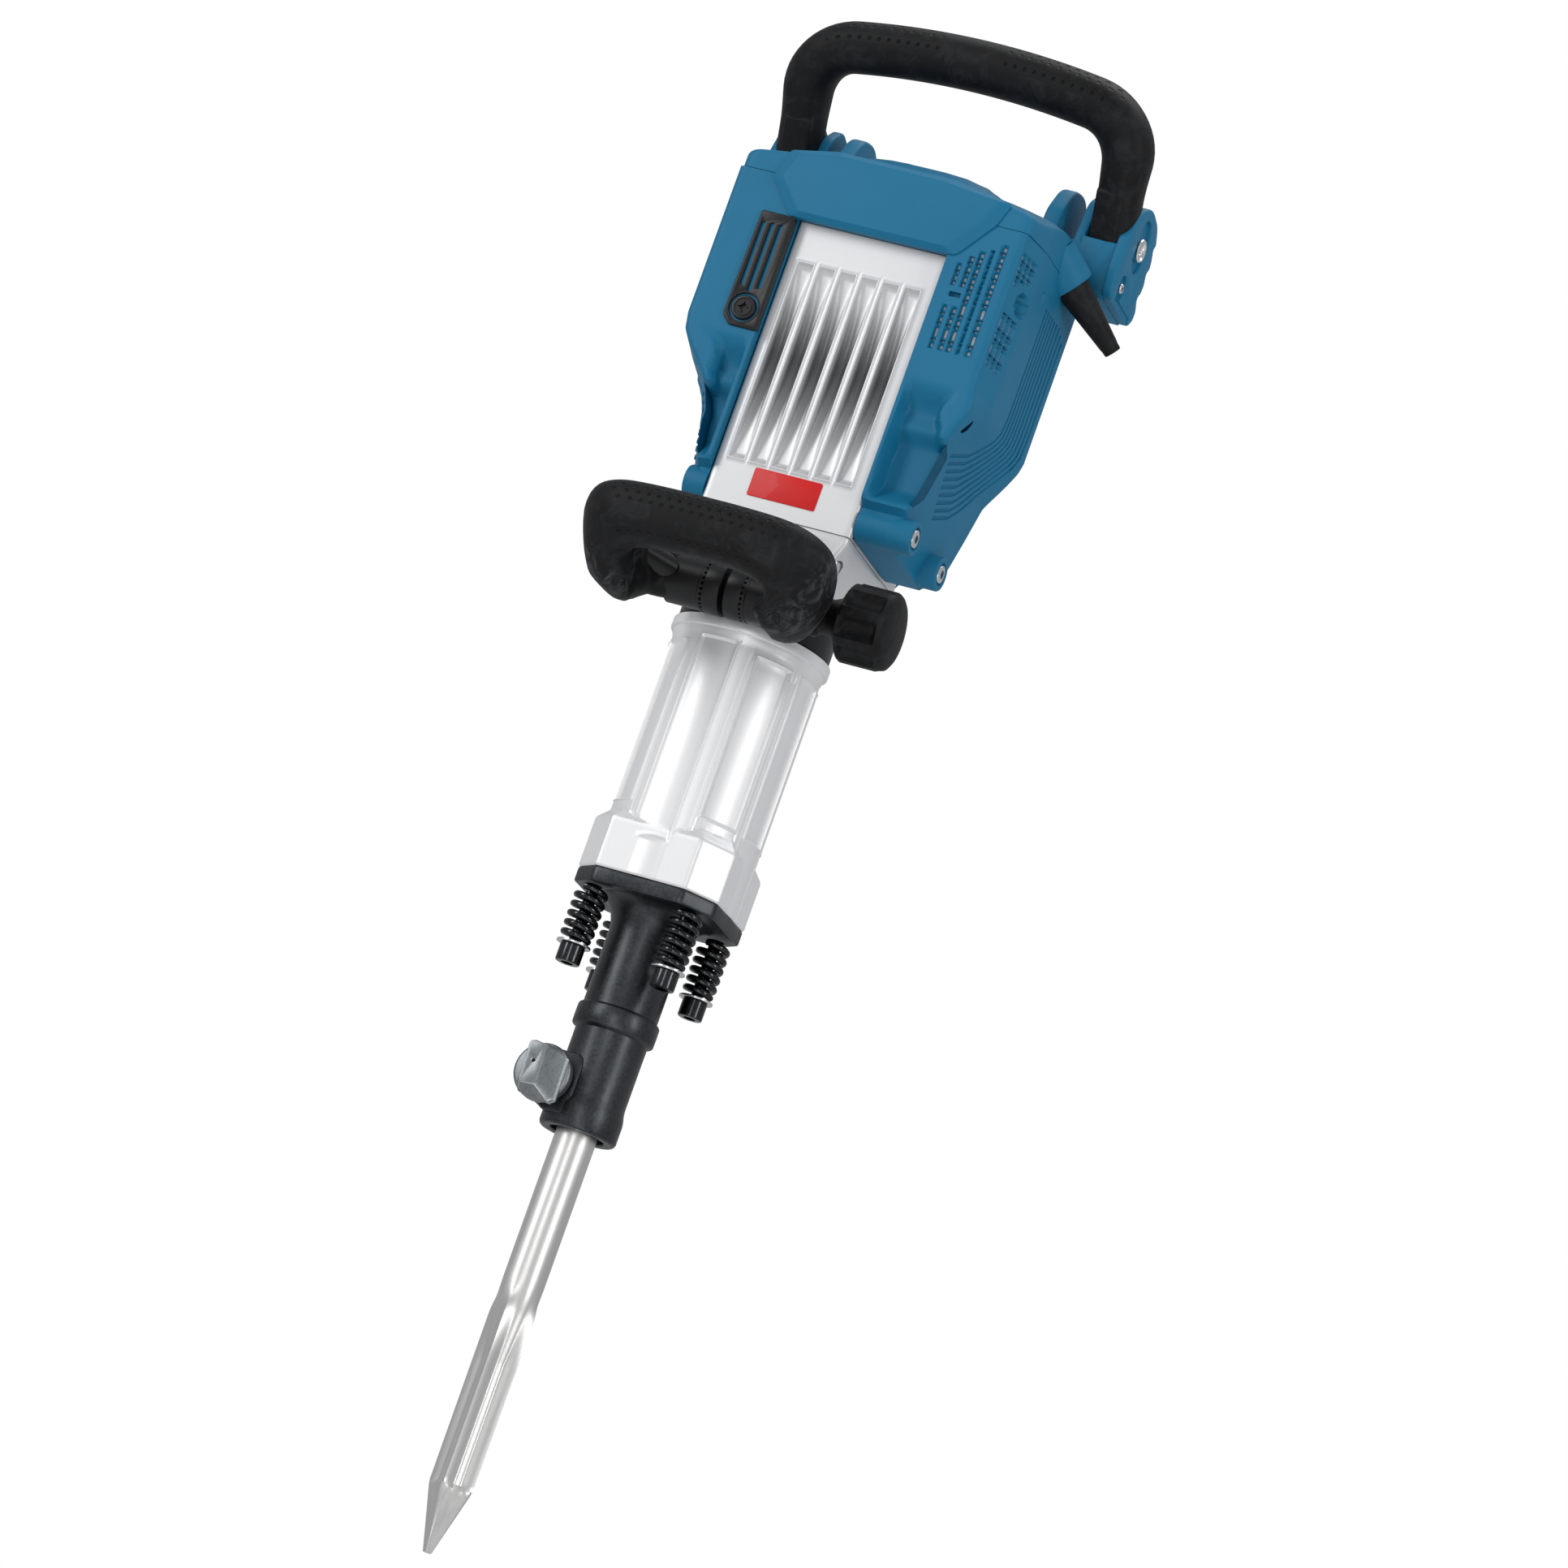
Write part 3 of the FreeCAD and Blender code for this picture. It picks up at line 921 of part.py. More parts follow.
def bracket(side, name):
    outer_start = across(side, mm.fork_inner + mm.fork_width, mm.cheek_width)
    inner_start = across(side, mm.fork_inner - mm.cheek_width, mm.cheek_width)
    fork_start = across(side, mm.fork_inner - 1, mm.fork_width + 2)
    items = []
    for part, start in (("outer", outer_start), ("inner", inner_start)):
        items.append(rod(f"{name}_{part}_eye", "cheek_radius - 1", "cheek_width",
                         (start, mm.pivot_y - 1, mm.pivot_z - 2), "X"))
        items.append(prism(f"{name}_{part}_cheek",
                           [("fork_front + 3", "pivot_z"), ("fork_front + 10", "fork_bottom"),
                            ("fork_back - 2", "fork_bottom"), ("fork_back + 2", "pivot_z")],
                           "cheek_width", (start, 0, 0), side_plane))
    items.append(prism(name + "_front_wall", [("fork_front + 3", "fork_block_top - 10"),
                                              ("fork_front + 10", "fork_bottom"),
                                              ("fork_front + 18", "fork_bottom"),
                                              ("fork_front + 11", "fork_block_top - 10")],
                       "fork_width + 2", (fork_start, 0, 0), side_plane))
    items.append(block(name + "_floor", ["fork_width + 2", "fork_back - fork_front - 14", "6"],
                       (fork_start, mm.fork_front + 12, mm.fork_bottom)))
    items.append(block(name + "_back_wall", ["fork_width + 2", "6", "30"],
                       (fork_start, mm.fork_back - 8, mm.fork_bottom)))
    arm_length = mm.fork_inner - mm.cheek_width - mm.arm_start
    items.append(block(name + "_arm", ["fork_inner - cheek_width - arm_start + 1", "arm_depth", "arm_height"],
                       (across(side, mm.arm_start, arm_length + 1), mm.cover_back + 4, mm.arm_bottom)))
    items.append(rod(name + "_disc", "disc_radius", "disc_width",
                     (across(side, mm.disc_start, mm.disc_width), mm.pivot_y + 4, mm.pivot_z - 8), "X"))
    disc_trim = block(name + "_disc_trim", ["disc_width + 2", "disc_radius * 2", "disc_radius"],
                      (across(side, mm.disc_start - 1, mm.disc_width + 2),
                       mm.cover_back + 4 - mm.disc_radius * 2,
                       mm.fork_bottom + 4 - mm.disc_radius))
    bolt_hole = rod(name + "_bolt_hole", "bolt_radius", "fork_width + cheek_width * 2 + 20",
                    (across(side, mm.fork_inner - mm.cheek_width - 10,
                            mm.fork_width + mm.cheek_width * 2 + 20),
                     mm.pivot_y, mm.pivot_z), "X")
    head_start = across(side, cheek_face - 1.5, 10)
    head_seat = rod(name + "_head_seat", "bolt_head_radius + gap", "10",
                     (head_start, mm.pivot_y, mm.pivot_z), "X")
    screw_hole = rod(name + "_screw_hole", "bracket_screw_radius", "bracket_screw_length * 2",
                     (across(side, cheek_face - 6, mm.bracket_screw_length * 2), mm.pivot_y - 11,
                      mm.buffer_height), "X")
    keep(carved(name + "_solid", joined(name + "_body", items),
                [disc_trim, bolt_hole, head_seat, screw_hole]),
         name)


cheek_face = mm.fork_inner + mm.fork_width + mm.cheek_width


def bracket_hardware():
    bolts, screws, buffers = [], [], []
    for side in (-1, 1):
        inner_end = mm.fork_inner - mm.cheek_width - 1
        shank_length = cheek_face - 1.5 - inner_end
        shank = rod(f"pivot_bolt_shank_{side + 1}", "bolt_radius", f"{shank_length}",
                    (across(side, inner_end, shank_length), mm.pivot_y, mm.pivot_z), "X")
        head = rod(f"pivot_bolt_head_{side + 1}", "bolt_head_radius", "bolt_head",
                   (across(side, cheek_face - 1.5, mm.bolt_head), mm.pivot_y, mm.pivot_z), "X")
        hollow = rod(f"pivot_bolt_hollow_{side + 1}", "4.5", "4",
                     (across(side, cheek_face - 0.5, 4), mm.pivot_y, mm.pivot_z), "X")
        bolts.append(carved(f"pivot_bolt_{side + 1}", joined(f"pivot_bolt_body_{side + 1}", [shank, head]),
                            [hollow]))
        screws.append(rod(f"bracket_screw_{side + 1}", "bracket_screw_radius", "bracket_screw_length",
                          (across(side, cheek_face - 6, mm.bracket_screw_length), mm.pivot_y - 11,
                           mm.buffer_height), "X"))
        middle_x = side * (mm.fork_inner + mm.fork_width / 2)
        front_start = mm.fork_front + 18.2
        buffers.append(rod(f"buffer_front_{side + 1}", "buffer_radius", "6.5",
                           (middle_x, front_start, mm.buffer_height), "Y"))
        buffers.append(rod(f"buffer_back_{side + 1}", "buffer_radius", "9.5",
                           (middle_x, mm.pivot_y + mm.lever_depth / 2 + 4, mm.buffer_height), "Y"))
    group("pivot_bolts", bolts)
    group("bracket_screws", screws)
    group("handle_buffers", buffers)


# ---- auxiliary handle ---------------------------------------------------------------------------
def clamp_band():
    low = mm.aux_z - mm.band_height / 2
    band = ring("band", "band_outer", "band_inner", "band_height", (0, 0, low))
    ears, webs = [], []
    for side in (-1, 1):
        start = across(side, mm.ear_gap, mm.ear_width)
        ears.append(rod(f"band_ear_{side + 1}", "ear_radius", "ear_width", (start, mm.aux_y, mm.aux_z), "X"))
        webs.append(block(f"band_web_{side + 1}", ["ear_width", "22", "band_height"],
                          (start, mm.aux_y, low)))
    slot = block("band_slot", ["ear_gap * 2", "30", "60"], (-mm.ear_gap, -mm.band_outer - 8, mm.aux_z - 30))
    neck_room = rod("band_neck_room", "band_inner", "60", (0, 0, mm.aux_z - 30))
    hole = rod("band_screw_hole", "screw_bore + fit", "60", (-30, mm.aux_y, mm.aux_z), "X")
    keep(carved("band_solid", joined("band_body", [band] + ears + webs), [slot, neck_room, hole]),
         "clamp_band")


def aux_loop(inset):
    """The D-shaped centre line from one hub round the bar to the other hub, corners as tangent arcs."""
    hub_x = mm.hub_start + mm.hub_width / 2
    hub = Vector(hub_x, mm.aux_y, mm.aux_z)
    elbow = Vector(mm.aux_bar_half - 2, mm.aux_y - 36, mm.aux_z + 4)
    end = Vector(mm.aux_bar_half, mm.aux_bar_y, mm.aux_bar_z)
    route = [hub, elbow, end, Vector(-end.x, end.y, end.z), Vector(-elbow.x, elbow.y, elbow.z),
             Vector(-hub.x, hub.y, hub.z)]
    first = route[1] - route[0]
    route[0] = route[0] + first.normalize() * inset
    last = route[-2] - route[-1]
    route[-1] = route[-1] + last.normalize() * inset
    edges, place = [], route[0]
    for k in range(1, len(route) - 1):
        into = (route[k] - route[k - 1]).normalize()
        out = (route[k + 1] - route[k]).normalize()
        half = into.getAngle(out) / 2
        back = mm.aux_bend * math.tan(half)
        start, stop = route[k] - into * back, route[k] + out * back
        inward = (out - into).normalize()
        middle = route[k] + inward * (mm.aux_bend / math.cos(half) - mm.aux_bend)
        edges += [Part.LineSegment(place, start).toShape(), Part.Arc(start, middle, stop).toShape()]
        place = stop
    edges.append(Part.LineSegment(place, route[-1]).toShape())
    return Part.Wire(edges)


def aux_handle():
    hubs = []
    for side in (-1, 1):
        hubs.append(rod(f"aux_hub_{side + 1}", "ear_radius", "hub_width",
                        (across(side, mm.hub_start, mm.hub_width), mm.aux_y, mm.aux_z), "X"))
    hole = rod("aux_screw_hole", "screw_bore + fit", "120", (-60, mm.aux_y, mm.aux_z), "X")
    path = aux_loop(0)
    core = pipe(path, mm.aux_core, "aux_core_pipe")
    inner_room = block("aux_inner_room", ["hub_start * 2", "60", "60"],
                       (-mm.hub_start, mm.aux_y - 30, mm.aux_z - 30))
    stem_room = rod("aux_stem_room", "stem_radius + 1", "200",
                    (mm.hub_start + mm.hub_width, mm.aux_y, mm.aux_z), "X")
    keep(carved("aux_frame_solid", joined("aux_frame_body", [core] + hubs), [hole, inner_room, stem_room]),
         "aux_frame")
    outer = pipe(aux_loop(22), mm.aux_bar_radius, "aux_outer_pipe")
    hollow = pipe(aux_loop(0), mm.aux_core, "aux_hollow_pipe")
    hub_room = rod("aux_hub_room", "ear_radius + gap", "(hub_start + hub_width) * 2 + 2",
                   (-mm.hub_start - mm.hub_width - 1, mm.aux_y, mm.aux_z), "X")
    grip_stem_room = rod("aux_grip_stem_room", "stem_radius + 1", "200",
                         (mm.hub_start, mm.aux_y, mm.aux_z), "X")
    keep(carved("aux_grip_solid", outer, [hollow, hub_room, grip_stem_room]), "aux_grip")


def clamp_knob():
    y, z = mm.aux_y, mm.aux_z
    head = rod("knob_head", "knob_radius", "knob_length", (mm.knob_start, y, z), "X")
    flutes = []
    for k in range(mm.knob_flutes):
        angle = 2 * math.pi * (k + 0.5) / mm.knob_flutes
        reach = mm.knob_radius + mm.knob_flute - 2.5
        flutes.append(rod(f"knob_flute_{k}", "knob_flute", "knob_length - 8",
                          (mm.knob_start - 1, y + reach * math.cos(angle), z + reach * math.sin(angle)), "X"))
    grip_start = mm.hub_start + mm.hub_width
    collar = rod("knob_collar", "stem_radius", f"{mm.knob_start - grip_start - 0.4}",
                 (grip_start + 0.4, y, z), "X")
    spindle = rod("knob_spindle", "screw_bore", f"{mm.knob_start + grip_start - 2}",
                  (-grip_start + 2, y, z), "X")
    keep(joined("knob_solid", [carved("knob_cut", head, flutes), collar, spindle]), "clamp_knob")


# ---- build, check, write ------------------------------------------------------------------------
def build():
    tool_holder()
    lock_bolt()
    chisel()
    spring_set()
    barrel()
    striking_gear()
    crank_train()
    gear_train()
    gear_plate()
    motor()
    motor_housing()
    gear_case()
    side_cover(-1, "left_side_cover")
    side_cover(1, "right_side_cover")
    cover_screws()
    top_cap()
    rear_cover()
    brush_covers()
    brush_cover_screws()
    label_and_switch()
    cable_sleeve()
    main_handle()
    bracket(-1, "left_bracket")
    bracket(1, "right_bracket")
    bracket_hardware()
    clamp_band()
    aux_handle()
    clamp_knob()
    doc.recompute()


def check_and_write():
    faults = [item.Name for item in doc.Objects if {"Invalid", "Error"} & set(item.State)]
    for node in nodes:
        if node.Shape.isNull() or not node.Shape.isValid() or not node.Shape.Solids:
            faults.append(node.Label)
    if faults:
        raise RuntimeError("failed: " + ", ".join(faults))
    os.makedirs("parts", exist_ok=True)
    for node in nodes:
        node.Shape.exportStep(f"parts/{node.Label}.step")
        print(f"{node.Label:24s} {len(node.Shape.Solids)} solid(s) {node.Shape.Volume / 1000:9.2f} cm3")
    print(len(nodes), "nodes")


build()
check_and_write()
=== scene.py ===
import bpy, bmesh, json, math
from mathutils import Matrix, Vector


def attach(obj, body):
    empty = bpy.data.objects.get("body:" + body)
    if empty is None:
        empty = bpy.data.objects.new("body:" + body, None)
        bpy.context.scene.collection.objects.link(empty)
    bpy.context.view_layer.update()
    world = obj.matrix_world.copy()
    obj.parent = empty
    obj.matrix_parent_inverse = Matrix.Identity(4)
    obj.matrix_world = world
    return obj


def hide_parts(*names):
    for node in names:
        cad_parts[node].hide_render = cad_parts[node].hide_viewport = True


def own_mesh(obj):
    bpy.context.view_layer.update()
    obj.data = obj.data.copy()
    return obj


# each piece keeps its changeable values, mostly in millimetres, in a dictionary at the start of its function
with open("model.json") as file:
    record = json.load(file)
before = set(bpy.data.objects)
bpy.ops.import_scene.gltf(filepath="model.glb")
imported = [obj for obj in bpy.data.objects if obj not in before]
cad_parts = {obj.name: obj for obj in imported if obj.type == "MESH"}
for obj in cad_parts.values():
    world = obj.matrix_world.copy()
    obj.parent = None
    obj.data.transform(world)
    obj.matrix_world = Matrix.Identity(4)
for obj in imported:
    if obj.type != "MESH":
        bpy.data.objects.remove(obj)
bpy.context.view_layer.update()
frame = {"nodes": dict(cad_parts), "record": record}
scene = bpy.context.scene
print("frame loaded:", len(frame["nodes"]), "nodes")


class Wire:  # one output socket, with arithmetic
    def __init__(self, recipe, socket):
        self.recipe, self.socket = recipe, socket

    def maths(self, operation, *others):
        return self.recipe.add("ShaderNodeMath", {"operation": operation}, [self, *others])

    def __add__(self, other):
        return self.maths("ADD", other)

    __radd__ = __add__

    def __sub__(self, other):
        return self.maths("SUBTRACT", other)

    def __rsub__(self, other):
        return self.recipe.add("ShaderNodeMath", {"operation": "SUBTRACT"}, [other, self])

    def __mul__(self, other):
        return self.maths("MULTIPLY", other)

    __rmul__ = __mul__

    def __truediv__(self, other):
        return self.maths("DIVIDE", other)

    def clipped(self):
        return self.maths("MAXIMUM", 0.0).maths("MINIMUM", 1.0)


class Recipe:  # a material being built
    def __init__(self, name, metallic=0.0, roughness=0.5, coat=0.0, specular=0.5):
        self.finish = bpy.data.materials.new(name)
        self.finish.use_nodes = True
        self.tree = self.finish.node_tree
        self.shader = self.tree.nodes["Principled BSDF"]
        for socket, value in (("Metallic", metallic), ("Roughness", roughness), ("Coat Weight", coat),
                ("Specular IOR Level", specular)):
            self.shader.inputs[socket].default_value = value

    def add(self, kind, settings=None, values=(), output=0):
        node = self.tree.nodes.new(kind)
        for key, value in (settings or {}).items():
            if key == "stops":
                ramp = node.color_ramp
                while len(ramp.elements) < len(value):
                    ramp.elements.new(0.5)
                for element, (place, shade) in zip(ramp.elements, value):
                    element.position = place
                    element.color = (*shade, 1) if len(shade) == 3 else shade
            else:
                setattr(node, key, value)
        pairs = values.items() if isinstance(values, dict) else enumerate(values)
        for key, value in pairs:
            self.feed(node.inputs[key], value)
        return Wire(self, node.outputs[output])

    def feed(self, socket, value):
        if isinstance(value, Wire):
            self.tree.links.new(value.socket, socket)
        else:
            socket.default_value = value

    def place(self, scale=(1, 1, 1)):
        spot = self.add("ShaderNodeTexCoord", output="Object")
        return self.add("ShaderNodeMapping", {}, {"Vector": spot, "Scale": scale})

    def noise(self, scale, detail=3.0, rough=0.55, where=None, distortion=0.0):
        return self.add("ShaderNodeTexNoise", {}, {"Vector": where or self.place(), "Scale": scale,
                "Detail": detail, "Roughness": rough, "Distortion": distortion})

    def shades(self, factor, stops):
        return self.add("ShaderNodeValToRGB", {"stops": stops}, [factor])

    def blend(self, factor, first, second):
        mixed = self.tree.nodes.new("ShaderNodeMix")
        mixed.data_type = "RGBA"
        for k, value in ((0, factor), (6, first), (7, second)):
            self.feed(mixed.inputs[k], value if isinstance(value, (Wire, float)) else (*value, 1))
        return Wire(self, mixed.outputs[2])

    def colour(self, value):
        self.feed(self.shader.inputs["Base Color"], value if isinstance(value, Wire) else (*value, 1))

    def rough(self, value):
        self.feed(self.shader.inputs["Roughness"], value)

    def bump(self, height, distance, strength=1.0):
        raised = self.add("ShaderNodeBump", {}, {"Strength": strength, "Distance": distance,
                "Height": height})
        self.feed(self.shader.inputs["Normal"], raised)


def bluePlastic():
    values = {"colour": (0.004, 0.132, 0.252), "light": (0.007, 0.162, 0.305), "grain": 1500,
            "depth": 0.00006}
    made = Recipe("bluePlastic", roughness=0.5, specular=0.26)
    grain = made.noise(values["grain"], 2)
    cloud = made.noise(30, 3)
    made.colour(made.blend(cloud * 0.6 + grain * 0.4, values["colour"], values["light"]))
    made.rough(grain * 0.2 + 0.42)
    made.bump(grain + made.noise(values["grain"] * 2.3, 1) * 0.5, values["depth"])
    return made.finish


def silverPaint(name, dark, light, metal, rough, shaded=False):
    made = Recipe(name, metallic=metal, roughness=rough, coat=0.15)
    flake = made.noise(3200, 1)
    cloud = made.noise(18, 3)
    paint = made.blend(cloud * 0.5 + flake * 0.5, dark, light)
    if shaded:  # painted shade: the colour goes dark deep in the grooves
        marks = made.add("ShaderNodeAttribute", {"attribute_name": "pits"}, output="Fac")
        paint = made.blend((marks * 0.93).clipped(), paint, (0.055, 0.057, 0.06))
    made.colour(paint)
    made.rough(flake * 0.14 + (rough - 0.07))
    made.bump(made.noise(900, 3), 0.00004)
    return made.finish


def softRubber(name, marked=False):
    made = Recipe(name, roughness=0.6, specular=0.2)
    cloud = made.noise(26, 5, 0.62, distortion=0.4)
    scuff = made.shades(made.noise(70, 6, 0.7, distortion=1.2), [(0.47, (0, 0, 0)), (0.72, (1, 1, 1))])
    grain = made.noise(1300, 2)
    base = made.shades(cloud, [(0.3, (0.002, 0.002, 0.0024)), (0.75, (0.006, 0.0063, 0.0072))])
    height = grain * 0.25
    wearAndHighlight = 0.16
    if marked:  # marks above 0 are dimples, marks below 0 are scuffed areas
        marks = made.add("ShaderNodeAttribute", {"attribute_name": "pits"}, output="Fac")
        spot = made.add("ShaderNodeUVMap", {"uv_map": "along"})
        axes = made.add("ShaderNodeSeparateXYZ", {}, [spot])
        row = Wire(made, axes.socket.node.outputs[1])
        shift = (row / 0.0052).maths("FLOOR").maths("MODULO", 2.0) * 0.5
        across = (axes / 0.0066 + shift).maths("FRACT") - 0.5
        upward = (row / 0.0052).maths("FRACT") - 0.5
        reach = (across * across * 1.6 + upward * upward).maths("SQRT")
        hole = (1.0 - reach * 3.4).clipped() * marks.clipped()
        height = height - hole * 8.0
        wearAndHighlight = (marks * -0.85 + 0.16).clipped()
    made.colour(made.blend(scuff * wearAndHighlight, base, (0.075, 0.08, 0.088)))
    made.rough(cloud * 0.2 + 0.45)
    made.bump(height, 0.00022 if marked else 0.0001)
    return made.finish


def blackPlastic():
    made = Recipe("blackPlastic", roughness=0.4, specular=0.32)
    grain = made.noise(1100, 2)
    cloud = made.noise(40, 4)
    made.colour(made.blend(cloud, (0.003, 0.003, 0.0035), (0.010, 0.0105, 0.012)))
    made.rough(grain * 0.2 + 0.28)
    made.bump(grain, 0.00005)
    return made.finish


def forgedSteel(name, deep, pale, rough, metal=0.9, scale=45, relief=0.0001, stretch=(1, 1, 0.3)):
    made = Recipe(name, metallic=metal, roughness=rough)
    where = made.place(stretch)
    cloud = made.noise(scale, 6, 0.66, where, 0.5)
    speck = made.noise(scale * 12, 3, 0.6)
    factor = made.shades(cloud * 0.6 + speck * 0.4, [(0.32, (0, 0, 0)), (0.72, (1, 1, 1))])
    made.colour(made.blend(factor, deep, pale))
    made.rough(speck * 0.2 + (rough - 0.09))
    made.bump(cloud * 0.4 + speck * 0.6, relief)
    return made.finish


def brushedSteel(name, deep, pale, rough, stretch=(260, 260, 9), metal=1.0):
    made = Recipe(name, metallic=metal, roughness=rough)
    lines = made.noise(1.0, 4, 0.6, made.place(stretch))
    speck = made.noise(700, 2)
    made.colour(made.blend(lines * 0.7 + speck * 0.3, deep, pale))
    made.rough(lines * 0.25 + (rough - 0.1))
    made.bump(lines + speck * 0.3, 0.00003)
    return made.finish


def labelFilm():
    made = Recipe("redLabel", roughness=0.45, coat=0.08, specular=0.3)
    made.colour(made.blend(made.noise(60, 3), (0.60, 0.004, 0.004), (0.70, 0.008, 0.007)))
    made.bump(made.noise(500, 2), 0.00002)
    return made.finish


blue = bluePlastic()
silver = silverPaint("silverPaint", (0.62, 0.62, 0.625), (0.74, 0.74, 0.745), 0.4, 0.4)
# the panel's copy of the silver paint, with painted shade deep in its grooves
shadedSilver = silverPaint("shadedSilver", (0.62, 0.62, 0.625), (0.74, 0.74, 0.745), 0.4, 0.4, shaded=True)
# a lighter copy of the same silver casting paint, for the barrel: painted light
litSilver = silverPaint("paleSilverPaint", (0.74, 0.74, 0.745), (0.84, 0.84, 0.845), 0.35, 0.38)
rubber = softRubber("softRubber")
dimpledRubber = softRubber("dimpledRubber", marked=True)
blackMould = blackPlastic()
holderSteel = forgedSteel("holderSteel", (0.022, 0.025, 0.028), (0.075, 0.08, 0.085), 0.36)
springSteel = forgedSteel("springSteel", (0.030, 0.031, 0.033), (0.075, 0.077, 0.08), 0.17, 1.0, 60, 0.00002)
lockSteel = forgedSteel("lockSteel", (0.15, 0.165, 0.17), (0.30, 0.32, 0.33), 0.38, scale=80, relief=0.00006)
toolSteel = brushedSteel("toolSteel", (0.60, 0.59, 0.575), (0.78, 0.77, 0.755), 0.36)
brightSteel = brushedSteel("brightSteel", (0.62, 0.62, 0.63), (0.82, 0.82, 0.83), 0.22, (90, 90, 90))
ventGrey = forgedSteel("ventGrey", (0.30, 0.31, 0.32), (0.42, 0.43, 0.44), 0.6, metal=0.2, scale=160)
# lighter steel for rounded edges: edge wear and a painted highlight
wornEdge = brushedSteel("wornEdge", (0.34, 0.36, 0.37), (0.55, 0.57, 0.58), 0.3, (300, 300, 300))
gearSteel = brushedSteel("gearSteel", (0.34, 0.34, 0.35), (0.52, 0.52, 0.53), 0.32, (40, 400, 400))
castAlloy = forgedSteel("castAlloy", (0.42, 0.42, 0.43), (0.6, 0.6, 0.61), 0.45, scale=120, relief=0.00008)
motorIron = brushedSteel("motorIron", (0.12, 0.12, 0.125), (0.22, 0.22, 0.225), 0.5, (2500, 30, 30),
        metal=0.7)
copper = brushedSteel("turnedCopper", (0.45, 0.19, 0.10), (0.68, 0.33, 0.19), 0.3, (900, 40, 40))
bronze = brushedSteel("bushBronze", (0.40, 0.27, 0.11), (0.58, 0.42, 0.19), 0.34, (60, 60, 900))
carbon = forgedSteel("brushCarbon", (0.012, 0.012, 0.012), (0.04, 0.04, 0.04), 0.6, metal=0.1, scale=200)
redFilm = labelFilm()
finishOf = {"silver_casting": silver, "blue_plastic": blue, "black_rubber": rubber,
        "black_plastic": blackMould, "switch_plastic": blackMould, "dark_steel": springSteel,
        "tool_steel": toolSteel, "bolt_steel": lockSteel, "bright_steel": brightSteel,
        "gear_steel": gearSteel, "cast_alloy": castAlloy, "motor_iron": motorIron, "copper": copper,
        "carbon": carbon, "bronze": bronze, "red_label": redFilm, }
slotOf = {part["node"]: part["material_slot"] for part in frame["record"]["subparts"]}
bodyOf = {node: body for body, members in frame["record"]["behaviour"]["bodies"].items() for node in members}
print("materials ready")


def smoothed(mesh, angle=32):
    mesh.polygons.foreach_set("use_smooth", [True] * len(mesh.polygons))
    mesh.set_sharp_from_angle(angle=math.radians(angle))


def build(name, points, faces, finishes, places=None, uvs=None, pits=None, angle=32):
    mesh = bpy.data.meshes.new(name)
    mesh.from_pydata([(p[0] / 1000, p[1] / 1000, p[2] / 1000) for p in points], [], faces)
    for finish in finishes if isinstance(finishes, (list, tuple)) else [finishes]:
        mesh.materials.append(finish)
    if places:
        mesh.polygons.foreach_set("material_index", places)
    if uvs:
        layer = mesh.uv_layers.new(name="along")
        for loop in mesh.loops:
            layer.data[loop.index].uv = uvs[loop.vertex_index]
    if pits:
        mark = mesh.attributes.new("pits", "FLOAT", "POINT")
        mark.data.foreach_set("value", pits)
    shape = bmesh.new()
    shape.from_mesh(mesh)
    bmesh.ops.remove_doubles(shape, verts=shape.verts, dist=2e-6)
    bmesh.ops.dissolve_degenerate(shape, edges=shape.edges, dist=1e-6)
    bmesh.ops.recalc_face_normals(shape, faces=shape.faces)
    shape.to_mesh(mesh)
    shape.free()
    smoothed(mesh, angle)
    item = bpy.data.objects.new(name, mesh)
    scene.collection.objects.link(item)
    return item


def applied(item, angle=None):
    ready = item.evaluated_get(bpy.context.evaluated_depsgraph_get())
    mesh = bpy.data.meshes.new_from_object(ready)
    item.modifiers.clear()
    old, item.data = item.data, mesh
    bpy.data.meshes.remove(old)
    mesh.name = item.name
    if angle:
        smoothed(mesh, angle)
    return item


def edged(item, width, steps=3, limit=32, angle=40, wearAndHighlight=None):
    bevel = item.modifiers.new("edges", "BEVEL")
    if wearAndHighlight:  # the rounded edges get a lighter finish of their own: edge wear and a painted highlight
        item.data.materials.append(wearAndHighlight)
        bevel.material = len(item.data.materials) - 1
    bevel.width, bevel.segments, bevel.limit_method = width / 1000, steps, "ANGLE"
    bevel.angle_limit, bevel.use_clamp_overlap, bevel.harden_normals = math.radians(limit), True, False
    return applied(item, angle)


def cut(item, *tools):
    for tool in tools:
        gouge = item.modifiers.new("cut", "BOOLEAN")
        gouge.operation, gouge.object, gouge.solver = "DIFFERENCE", tool, "EXACT"
    applied(item, 32)
    for tool in tools:
        bpy.data.objects.remove(tool)
    return item


def merged(name, items):
    points, faces, places, finishes = [], [], [], []
    for item in items:
        start = len(points)
        points += [v.co.copy() for v in item.data.vertices]
        for face in item.data.polygons:
            faces.append([v + start for v in face.vertices])
            finish = item.data.materials[face.material_index]
            if finish not in finishes:
                finishes.append(finish)
            places.append(finishes.index(finish))
    mesh = bpy.data.meshes.new(name)
    mesh.from_pydata(points, [], faces)
    for finish in finishes:
        mesh.materials.append(finish)
    mesh.polygons.foreach_set("material_index", places)
    smoothed(mesh)
    for item in items:
        bpy.data.objects.remove(item)
    whole = bpy.data.objects.new(name, mesh)
    scene.collection.objects.link(whole)
    return whole


# the first piece keeps its own map and marks
def joinKeeping(name, first, others):
    with bpy.context.temp_override(active_object=first, selected_editable_objects=[first, *others],
            object=first, selected_objects=[first, *others]):
        bpy.ops.object.join()
    first.name = name
    return first


